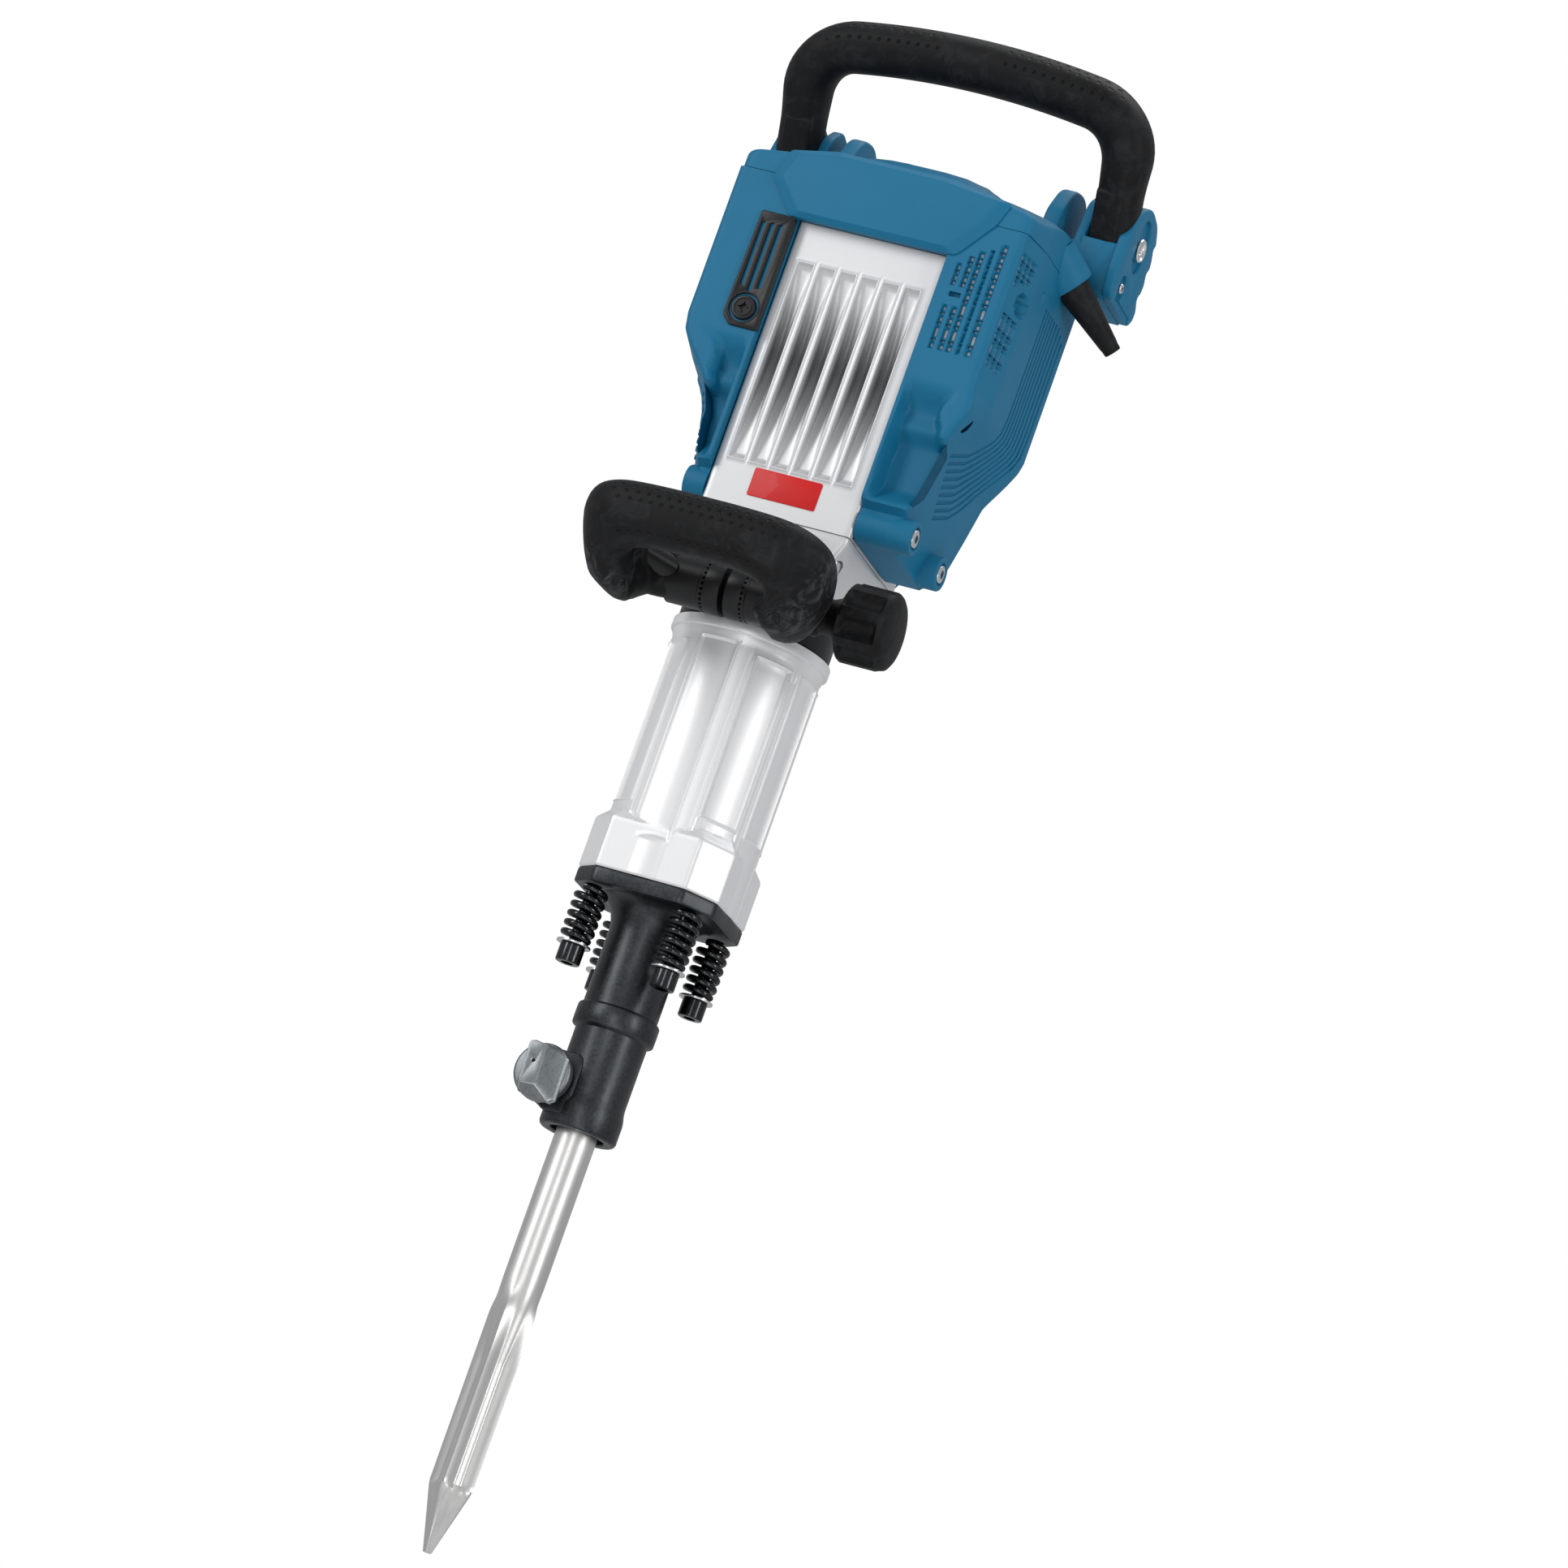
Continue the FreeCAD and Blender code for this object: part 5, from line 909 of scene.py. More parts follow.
def backSwell(y, z):
    return (3.0 * ease(z, 468, 490) - 1.2) * ease(y, 40, 72)


# front face, corner, side face, corner and back as one sampled skin
def coverSkin(side):
    v = {"front": -45, "inner": 51.6, "outer": 102.6, "back": 75, "bottom": 402, "top": 616.6, "corner": 4.5,
            "ventX": [61.6, 67.4, 73.4, 79.6, 86.0], "ventTops": [588, 594, 599, 603, 604.8],
            "ventZ": (532.5, 606), "ventPitch": 3.55, "ventSide": 0.95, "ventHalf": 1.3, "ventDepth": 2.4,
            "sideVentY": [-37.0, -30.4, -23.8], "sideVentHalf": 1.35}
    sign = side

    def widthAt(z):
        return follow(z, coverWidth)

    def frontY(x, z):
        edge = widthAt(z) - (0 if side > 0 else coverLean(side, z))
        flat = v["front"]
        step = ease(z, 510, 489)
        deep = 10.5 * step + 5.5 * ease(z, 479, 468) - 1.6 * math.exp(-((z - 480) / 5) ** 2) * step
        deep *= 1 - ease(z, 442, 422)
        rail = 13.5 * ease(z, 460, 480) - 8 + 6 * ease(z, 480, 492)
        openness = ease(edge - x, rail, rail + 7)
        boss = math.hypot(x - (93.5 if side > 0 else 84), z - 492)
        openness *= ease(boss, 10.5, 17)
        inner = ease(x, v["inner"] + 2.2, v["inner"] + 6.5)
        return flat + deep * openness * inner

    def lowerFront(x, z):
        y = frontY(x, z)
        if z < 426:  # the front lug is round about its screw
            away = min(1, abs(z - 413) / 11.2)
            rounded = -28 - 11.2 * math.sqrt(max(0, 1 - away * away))
            y = y + (rounded - y) * ease(z, 427, 420)
        return y

    def rounds(y, z):
        deep = 0
        for cy, cz, r, d in ((-22.6, 576.6, 7.6, 6.0), (5.8, 595.7, 2.6, 3.0)):
            deep = max(deep, d * between(r - math.hypot(y - cy, z - cz), 0, 0.6))
        return deep

    def vent(u, w, columns, rowsZ, half):
        for cu in columns:
            if abs(u - cu) <= half + 0.08:
                index = round((w - rowsZ[0]) / v["ventPitch"])
                if 0 <= index <= (rowsZ[1] - rowsZ[0]) / v["ventPitch"]:
                    if abs(w - rowsZ[0] - index * v["ventPitch"]) <= v["ventSide"] + 0.08:
                        return cu, rowsZ[0] + index * v["ventPitch"]
        return None

    def frontVent(x, z):
        hit = vent(x, z, v["ventX"], v["ventZ"], v["ventHalf"])
        if not hit:
            return False
        cx, cz = hit
        if cz > v["ventTops"][v["ventX"].index(cx)]:
            return False
        return not (560.5 < cz < 574 and cx < 70)

    def sideVent(y, z):
        hit = vent(y, z, v["sideVentY"], v["ventZ"], v["sideVentHalf"])
        if not hit:
            return False
        cy, cz = hit
        number = v["sideVentY"].index(cy)
        return 532 < cz < 566 or 584 + 3 * number < cz < 604 + 2 * number

    d = 0.08
    stops = [0.0, 0.6]
    width = v["outer"] - v["corner"] - v["inner"]
    if side > 0:
        for cx in v["ventX"]:
            stops += [cx + o - v["inner"] for o in (-v["ventHalf"] - d, -v["ventHalf"] + d, v["ventHalf"] - d,
                    v["ventHalf"] + d)]
    stops += [width, width - 3, 5, 8]
    us = [s / width for s in spread(stops, 2.4)]
    marksY = [v["front"] + v["corner"], v["back"] - v["corner"]]
    for cy in v["sideVentY"]:
        half = v["sideVentHalf"]
        marksY += [cy + o for o in (-half - d, -half + d, half - d, half + d)]
    ys = spread(marksY, 3.2)
    marksZ = [v["bottom"], v["top"], 402.8, 404]
    count = int((v["ventZ"][1] - v["ventZ"][0]) / v["ventPitch"]) + 1
    for k in range(count):
        cz = v["ventZ"][0] + k * v["ventPitch"]
        marksZ += [cz + o for o in (-v["ventSide"] - d, -v["ventSide"] + d, v["ventSide"] - d,
                v["ventSide"] + d)]
    zs = spread(marksZ, 2.0)
    rows, kinds = [], []
    for z in zs:
        wide = widthAt(z)
        shut = 1.2 * (1 - between(z, 402, 403.4))
        lean = coverLean(side, z)
        row, kind = [(v["inner"], v["front"] + 12, z)], [0]
        for u in us:
            x = v["inner"] + u * (wide - lean - v["corner"] - v["inner"])
            y = lowerFront(x, z)
            pit = side > 0 and frontVent(x, z)
            row.append((x, y + shut + (v["ventDepth"] if pit else 0), z))
            kind.append(1 if pit else 0)
        yStart = lowerFront(wide - lean - v["corner"], z)
        for k in range(1, 7):
            a = math.pi / 2 * k / 6
            row.append((wide - lean - v["corner"] * (1 - math.sin(a)) - shut,
                    yStart + v["corner"] * (1 - math.cos(a)) + shut, z))
            kind.append(0)
        for y in ys[1:]:
            t = between(y, ys[0], ys[-1])
            yy = yStart + v["corner"] + (ys[-1] - yStart - v["corner"]) * t if z < 430 else y
            pit = sideVent(y, z)
            deep = rounds(y, z) + (v["ventDepth"] if pit else 0) + lean * leanShare(lean, y)
            row.append((wide - shut - deep + backSwell(y, z), yy, z))
            kind.append(1 if pit else 0)
        for k in range(1, 7):
            a = math.pi / 2 * k / 6
            row.append((wide + backSwell(v["back"], z) - v["corner"] * (1 - math.cos(a)) - shut,
                    v["back"] - v["corner"] * (1 - math.sin(a)), z))
            kind.append(0)
        row.append((v["inner"], v["back"], z))
        kind.append(0)
        rows.append(row)
        kinds.append(kind)
    rows = [[(sign * x, y, z) for x, y, z in row] for row in rows]
    points, faces = skin(rows)
    flat = [k for kind in kinds for k in kind]
    places = [1 if all(flat[p] for p in face) else 0 for face in faces]
    return build("cover", points, faces, [blue, ventGrey], places, angle=34)


def tube(name, path, radius, finish, around=10):
    rows = []
    for k, spot in enumerate(path):
        run = (Vector(path[min(k + 1, len(path) - 1)]) - Vector(path[max(k - 1, 0)])).normalized()
        side = run.cross(Vector((1, 0, 0))).normalized()
        other = run.cross(side)
        rows.append([Vector(spot) + radius * (side * math.cos(2 * math.pi * t / around)
                + other * math.sin(2 * math.pi * t / around)) for t in range(around)])
    points, faces = skin(rows)
    return build(name, points, faces, finish)


def coverCuts(cover, side):
    v = {"grooves": 9, "gap": 5.4, "firstY": 20, "pivotY": -34, "pivotZ": 524, "turn": 54, "radius": 1.35,
            "bossX": {1: 96.4, -1: 85.5}, "bossY": {1: -36.2, -1: -40}}
    tools = [turned("bossTool", [(7.4, -12), (7.4, 0), (6.4, 1)], blue, 48,
            where=standing((side * 0.78, -0.6, -0.16), (side * v["bossX"][side], v["bossY"][side],
            491.6)) @ Matrix.Translation((0, 0, -2)))]
    if side > 0:
        tools.append(slab("slotTool", softened([(61, 565.4), (69, 565.4), (69, 568.9), (61, 568.9)], 0.8, 3),
                -47, -41.5, "Y", blue, 0))
    for k in range(v["grooves"]):
        reach = v["firstY"] + k * v["gap"] - v["pivotY"]
        path = [(v["firstY"] + k * v["gap"], z) for z in (592 - max(0, k - 6) * 3, 575, 550, v["pivotZ"] + 4)]
        if path[0][0] > 70:
            continue
        for n in range(13):
            a = math.radians(v["turn"]) * n / 12
            path.append((v["pivotY"] + reach * math.cos(a), v["pivotZ"] - reach * math.sin(a)))
        a = math.radians(v["turn"])
        y, z = path[-1]
        for n in range(1, 5):
            path.append((y - math.sin(a) * n * 6.5, z - math.cos(a) * n * 6.5 * 0.55))
        path = [(y, z) for y, z in path if z > 428]
        spots = []
        for y, z in path:
            lean = coverLean(side, z)
            spots.append((side * (follow(z, coverWidth) + backSwell(y, z) - lean * leanShare(lean, y) - 0.15),
                    y, z))
        tools.append(tube("grooveTool", spots, v["radius"], blue))
    reach = 72 if side > 0 else 60
    tools.append(slab("cavityLow", [(side * x, y) for x, y in [(45, -16), (45, 60), (reach, 60),
            (reach, -16)]], 425, 505, "Z", blue, 0))
    tools.append(slab("heelTool", [(47, 395), (90, 395), (90, 432), (78, 424), (47, 403)],
            *sorted((side * 40, side * 120)), "X", blue, 0))
    tools.append(slab("cavityHigh", [(side * x, y) for x, y in [(45, -27), (45, 66), (86, 66), (86, -27)]],
            504, 606, "Z", blue, 0))
    return cut(cover, *tools)


def lugEnd(side, y):
    return 66.5 if side < 0 and y < 0 else 89


def coverLugs(side):
    pieces = []
    for y in (-28, 38):
        end = lugEnd(side, y)
        lug = turned("lug", [(0, 54), (10.6, 54), (11.1, 54.6), (11.1, end - 1.4), (10.6, end - 0.4),
                (8.2, end), (7.6, end - 0.2), (7.2, end - 2.2), (0, end - 2.2)], blue, 48,
                where=standing((side, 0, 0), (0, y, 413)))
        pieces.append(lug)
    return pieces


def sideCovers():
    for side, node, name in ((1, "right_side_cover", "rightCover"), (-1, "left_side_cover", "leftCover")):
        cover = coverCuts(coverSkin(side), side)
        settle(merged(name, [cover] + coverLugs(side)), node)
        print(name, "made")


sideCovers()


def topCap():
    v = {"half": 102.6, "front": -45, "back": 75, "bottom": 617, "plateBack": -44, "plateFront": -49.5,
            "corner": 6, "deckBack": 51, "shoulder": 89, "deck": 619.6, "crownBack": 55, "topCentre": 656.5,
            "lean": 4.8}

    def crown(x, y):
        edge = abs(x) / v["half"]
        front = 638 - 9 * edge ** 2
        back = v["topCentre"] - 13.5 * edge ** 2.4
        lift = ease(y, -44, 22)
        hump = 6.0 * (1 - ease(math.hypot((x + 6) / 50, (y - 34) / 30), 0.9, 1.3))
        return front + (back - front) * lift + hump - 1.5 * ease(y, 44, 56)

    plan = softened([(v["lean"] - v["half"], v["front"]), (v["half"] - v["lean"], v["front"]),
            (v["half"], -14), (v["half"], v["deckBack"]), (v["shoulder"] - 3, v["crownBack"]),
            (3 - v["shoulder"], v["crownBack"]), (-v["half"], v["deckBack"]), (-v["half"], -14)], v["corner"],
            6)
    fine = []
    for k, (x, y) in enumerate(plan):
        nx, ny = plan[(k + 1) % len(plan)]
        parts = max(1, math.ceil(math.hypot(nx - x, ny - y) / 4))
        fine += [(x + (nx - x) * s / parts, y + (ny - y) * s / parts) for s in range(parts)]
    rows = [[(x, y, v["bottom"]) for x, y in fine]]
    for k in range(7):
        rows.append([(x, y, v["bottom"] + (crown(x, y) - 5 - v["bottom"]) * k / 6) for x, y in fine])
    for k in range(1, 6):
        a = math.pi / 2 * k / 5
        row = []
        for x, y in fine:
            pull = 1 - 5 * (1 - math.cos(a)) / math.hypot(x, y)
            row.append((x * pull, y * pull, crown(x, y) - 5 * (1 - math.sin(a))))
        rows.append(row)
    for share in (0.88, 0.8, 0.7, 0.6, 0.5, 0.38, 0.25, 0.12, 0.02):
        rows.append([(x * share, y * share + 4 * (1 - share), crown(x * share, y * share + 4 * (1 - share)))
                for x, y in fine])
    points, faces = skin(rows)
    body = build("capBody", points, faces, blue, angle=40)
    deck = slab("capDeck", softened([(-v["half"], 40), (v["half"], 40), (v["half"], v["back"]),
            (-v["half"], v["back"])], 4, 4), 617, v["deck"], "Z", blue, 0.8)

    low = [(-57, 591.5, 5), (57, 591.5, 7), (76, 616.5, 3), (82, 633, 3), (40, 640, 3), (-40, 640, 3),
            (-70, 634, 3), (-75.5, 614, 5)]
    plateOut = softened([(x, z, r) for x, z, r in low], 5, 6)
    cx, cz = 2, 616
    rows = []
    for level, shrink in ((v["plateBack"] + 3, 0), (v["front"] - 0.2, 0), (v["front"] - 1.2, 0.2),
            (v["plateFront"] + 0.6, 6.8), (v["plateFront"] + 0.1, 8.0), (v["plateFront"], 9.2)):
        row = []
        for x, z in plateOut:
            out = math.hypot(x - cx, z - cz)
            sideways = abs(x - cx) / out
            pull = 1 - (shrink * sideways ** 0.5 + min(shrink, 1.6) * (1 - sideways)) / out
            row.append((cx + (x - cx) * pull, level + 1.2 * ease(z, 622, 640), cz + (z - cz) * pull))
        rows.append(row)
    points, faces = skin(rows)
    plate = build("capPlate", points, faces, blue, angle=30)

    run = Vector((0.637, 0.527, -0.564))
    hood = turned("cableHood", [(12.1, -6), (12.1, -0.4), (12.7, 0.6), (13.9, 0.9), (14.8, 0.2), (15.2, -1.4),
            (15.7, -10), (17.5, -24), (12.1, -24)], blue, 72, closed=True,
            where=standing(run, (105.6, 40, 617.3)))
    settle(merged("topCap", [body, deck, plate, hood]), "top_cap")


def brushCover(name, node, back):
    v = {"left": -76, "right": -51.3, "bottom": 513, "top": 591, "front": -46.6, "deep": 6,
            "grooveX": [-70.6, -64.6, -58.6], "grooveLow": [540, 537, 540], "grooveHigh": 584,
            "grooveHalf": 1.25, "screwX": -64, "screwZ": 526, "screw": 8.3}
    outline = softened([(v["left"], 519, 5), (v["left"] + 6, v["bottom"], 4), (v["right"], v["bottom"], 1),
            (v["right"], v["top"], 1), (v["left"] + 1.5, v["top"], 1.5)], 2, 5)
    plate = slab("brushPlate", outline, v["front"], v["front"] + v["deep"], "Y", blackMould, 0.7)
    tools = []
    for x, low in zip(v["grooveX"], v["grooveLow"]):
        h = v["grooveHalf"]
        tools.append(slab("grooveTool", softened([(x - h, low), (x + h, low), (x + h, v["grooveHigh"]),
                (x - h, v["grooveHigh"])], h * 0.95, 5), v["front"] - 1, v["front"] + 2.2, "Y", blackMould,
                0))
    seat = turned("seatTool", [(v["screw"] + 1.2, -1), (v["screw"] + 1.2, 2.4), (0, 2.4)], blackMould, 48,
            where=standing((0, 1, 0), (v["screwX"], v["front"], v["screwZ"])))
    cut(plate, *tools, seat)
    edged(plate, 0.25, 2, 50)
    pad = turned("seatRing", [(v["screw"] + 2.6, 0.4), (v["screw"] + 2.3, -0.3), (v["screw"] + 1.5, -0.3),
            (v["screw"] + 1.2, 0.4)], blackMould, 48, closed=True, where=standing((0, 1, 0),
            (v["screwX"], v["front"], v["screwZ"])))
    piece = merged(name, [plate, pad])
    if back:
        piece.data.transform(Matrix.Translation((0, 0.030, 0)) @ Matrix.Scale(-1, 4, (0, 1, 0)))
        piece.data.flip_normals()
    return settle(piece, node)


def brushScrews():
    v = {"x": -64, "z": 526, "front": -47.0, "thick": 2.6}
    made = []
    for facing, y in ((-1, v["front"]), (1, 77)):
        body = turned("brushScrew", [(0, 0), (6.9, 0), (7.6, 0.15), (8.1, 0.7), (8.2, 1.2),
                (8.2, v["thick"] + 3), (0, v["thick"] + 3)], blackMould, 48)
        star = []
        for k in range(16):
            a = math.pi * 2 * k / 16
            size = (4.4, 2.0, 2.6, 2.0)[k % 4]
            star.append((size * math.cos(a), size * math.sin(a)))
        tool = slab("starTool", star, -1, 1.8, "Z", blackMould, 0)
        ring = turned("ringTool", [(5.4, -1), (6.0, -1), (6.0, 0.5), (5.4, 0.5)], blackMould, 48, closed=True)
        cut(body, tool, ring)
        body.data.transform(standing((0, -facing, 0)))
        body.data.transform(Matrix.Translation((v["x"] / 1000, y / 1000, v["z"] / 1000)))
        made.append(body)
    settle(merged("brushScrews", made), "brush_cover_screws")


def frontLabel():
    v = {"low": (-23, 411.2), "high": (23, 429.8), "front": -38.55, "back": -37.9, "corner": 1.3}
    (x0, z0), (x1, z1) = v["low"], v["high"]
    settle(slab("plainLabel", softened([(x0, z0), (x1, z0), (x1, z1), (x0, z1)], v["corner"], 5), v["front"],
            v["back"], "Y", redFilm, 0.15, 2), "info_label")


def rearCover():
    v = {"half": 50.8, "bottom": 401.5, "top": 654.5, "front": 75.3, "back": 78.7, "slots": 9, "slotGap": 9,
            "slotBottom": 470, "slotHalf": 32, "corner": 8}
    outline = softened([(-v["half"] + 6, v["bottom"]), (v["half"] - 6, v["bottom"]),
            (v["half"], v["bottom"] + 10), (v["half"], v["top"] - 12), (v["half"] - 9, v["top"]),
            (9 - v["half"], v["top"]), (-v["half"], v["top"] - 12), (-v["half"], v["bottom"] + 10)],
            v["corner"] - 3, 5)
    plate = slab("rearPlate", outline, v["front"], v["back"], "Y", blue, 1.0)
    tools = []
    for k in range(v["slots"]):
        z = v["slotBottom"] + k * v["slotGap"]
        tools.append(slab("slotTool", softened([(-v["slotHalf"], z), (v["slotHalf"], z),
                (v["slotHalf"], z + 3.6), (-v["slotHalf"], z + 3.6)], 1.7, 5), v["back"] - 1.6, v["back"] + 1,
                "Y", blue, 0))
    tools.append(slab("frameTool", softened([(-40, 456), (40, 456), (40, 457.2), (-40, 457.2)], 0.5, 2),
            v["back"] - 0.7, v["back"] + 1, "Y", blue, 0))
    cut(plate, *tools)
    settle(plate, "rear_cover")


def sideBrackets():
    v = {"outer": 125.5, "cheek": 7, "inner": 96.5, "fork": 22, "armStart": 41,
            "cheekLine": [(60, 621.5, 8), (56.5, 640, 20), (57, 662, 16), (66, 684, 20), (84, 694, 22),
            (104, 689, 16), (113, 679, 4), (110.5, 675.5, 2), (114.5, 669, 4), (116, 664, 3), (113, 659, 3),
            (116, 652, 5), (115, 646, 3), (111.5, 641.5, 3), (118, 634, 6), (117, 628, 4), (112, 621.5, 8)],
            "innerLine": [(64, 621.5, 6), (58, 650, 14), (64, 682, 14), (80, 694.5, 12), (98, 690, 16),
            (108, 670, 16), (110, 640, 10), (108, 621.5, 6)]}
    for side, node, name in ((1, "right_bracket", "rightBracket"), (-1, "left_bracket", "leftBracket")):
        def levels(low, high):
            return (low, high) if side > 0 else (-high, -low)

        outside = slab("cheek", softened(v["cheekLine"], 5, 5), *levels(v["outer"] - v["cheek"], v["outer"]),
                "X", blue, 1.3)
        oval = slab("ovalTool", softened([(-9.5 + 86, 649), (9.5 + 86, 649), (9.5 + 86, 685),
                (-9.5 + 86, 685)], 9.4, 8), *levels(v["outer"] - 2.4, v["outer"] + 3), "X", blue, 0)
        small = slab("smallTool", softened([(69.5, 623.5), (80.5, 626.5), (80.5, 644.5), (69.5, 641.5)], 5.2,
                7), *levels(v["outer"] - 2.2, v["outer"] + 3), "X", blue, 0)
        ledge = slab("ledgeTool", softened([(60, 618), (112, 618), (108, 626), (70, 627)], 3, 4),
                *levels(v["outer"] - 0.9, v["outer"] + 3), "X", blue, 0)
        cut(outside, oval, small, ledge)
        edged(outside, 0.5, 2, 45)
        inside = slab("cheekIn", softened(v["innerLine"], 5, 5), *levels(v["inner"] - v["cheek"], v["inner"]),
                "X", blue, 1.6)
        front = slab("forkFront", softened([(57.5, 657.5), (63, 621), (71, 621), (66, 657.5)], 1.2, 3),
                *levels(v["inner"] - 1, v["inner"] + v["fork"] + 1), "X", blue, 0.5)
        base = slab("forkBase", softened([(64, 620.8), (111, 620.8), (111, 627), (64, 627)], 1.5, 3),
                *levels(v["inner"] - 1, v["inner"] + v["fork"] + 1), "X", blue, 0.5)
        rear = slab("forkRear", softened([(106, 621), (112, 621), (112.5, 650), (106.5, 650)], 1.5, 3),
                *levels(v["inner"] - 1, v["inner"] + v["fork"] + 1), "X", blue, 0.5)
        arm = slab("arm", softened([(79.2, 623), (96, 623), (97, 654), (79.2, 656)], 3, 4),
                *levels(v["armStart"], 91), "X", blue, 1.2)
        disc = slab("disc", softened([(58, 624), (50, 640, 14), (52, 668, 20), (66, 688, 20), (90, 692, 22),
                (110, 676, 18), (116, 650, 16), (110, 624)], 6, 6), *levels(68, 79), "X", blue, 2.2)
        settle(merged(name, [outside, inside, front, base, rear, arm, disc]), node)


def bracketHardware():
    v = {"pivotY": 86, "pivotZ": 665, "screwY": 75, "screwZ": 634}
    bolts, screws = [], []
    for side in (-1, 1):
        place = standing((side, 0, 0), (0, v["pivotY"], v["pivotZ"]))
        bolts.append(turned("pivotBolt", [(0, 88.6), (4.9, 88.6), (4.9, 123.4), (7.6, 123.4), (7.7, 126.0),
                (7.2, 126.8), (6.2, 126.8), (5.8, 126.2), (5.4, 125.0), (4.2, 124.9), (3.9, 125.4),
                (2.9, 125.6), (2.5, 125.0), (0, 124.8)], brightSteel, 48, where=place))
        place = standing((side, 0, 0), (0, v["screwY"], v["screwZ"]))
        body = turned("bracketScrew", [(0, 120), (3.3, 120), (3.4, 125.6), (2.9, 126.3), (0, 126.6)],
                brightSteel, 32)
        cut(body, turned("hexTool", [(1.7, 124.6), (1.7, 130)], brightSteel, 6))
        body.data.transform(Matrix.Translation(place.translation / 1000) @ place.to_3x3().to_4x4())
        screws.append(body)
    settle(merged("pivotBolts", bolts), "pivot_bolts")
    settle(merged("bracketScrews", screws), "bracket_screws")


def caseScrews():
    v = {"x": 41, "front": -27, "back": 58, "bottom": 372.2, "head": 6.5, "length": 13.8, "lugFront": -28,
            "lugBack": 38, "lugZ": 413}
    spots = [(x, y, v["bottom"]) for x in (-v["x"], v["x"]) for y in (v["front"], v["back"])]
    master = socketScrew("caseScrewMaster", v["head"], v["length"], 3.9, 14, brightSteel)
    settle(repeated("caseScrews", master, spots, brightSteel), "housing_screws")
    heads = []
    for side in (-1, 1):
        for y in (v["lugFront"], v["lugBack"]):
            end = lugEnd(side, y)
            body = turned("lugScrew", [(0, end - 7), (6.0, end - 7), (6.0, end - 0.8), (5.6, end - 0.1),
                    (4.9, end + 0.2), (0, end + 0.4)], brightSteel, 40)
            cut(body, turned("hexTool", [(3.0, end - 2.6), (3.0, end + 3)], brightSteel, 6))
            place = standing((side, 0, 0), (0, y, v["lugZ"]))
            body.data.transform(Matrix.Translation(place.translation / 1000) @ place.to_3x3().to_4x4())
            heads.append(body)
    settle(merged("coverScrews", heads), "cover_screws")


# stations: centre, outward, upward, half out, half in, half up, half down
def swept(name, stations, finish, around=48, power=2.25, pitsAt=None, ends=True, taper=None):
    rows, uvs, pits = [], [], []
    along = 0
    for k, (centre, outward, upward, out, inn, up, down) in enumerate(stations):
        if k:
            along += (Vector(centre) - Vector(stations[k - 1][0])).length
        row = []
        for s in range(around):
            a = 2 * math.pi * s / around
            c, d = math.cos(a), math.sin(a)
            c = math.copysign(abs(c) ** (2 / power), c)
            d = math.copysign(abs(d) ** (2 / power), d)
            if taper and d < 0:  # lobes get narrower and lean inwards as they go down
                c = c * (1 - 0.32 * taper[k] * -d) - 0.85 * taper[k] * d * d
            row.append(Vector(centre) + Vector(outward) * c * (out if c > 0 else inn)
                    + Vector(upward) * d * (up if d > 0 else down))
            uvs.append((along / 1000, a / (2 * math.pi) * 2 * math.pi * up / 1000))
            pits.append(pitsAt(along, a, k) if pitsAt else 0.0)
        rows.append(row)
    points, faces = skin(rows, ends=ends)
    return build(name, points, faces, finish, uvs=uvs, pits=pits, angle=50)


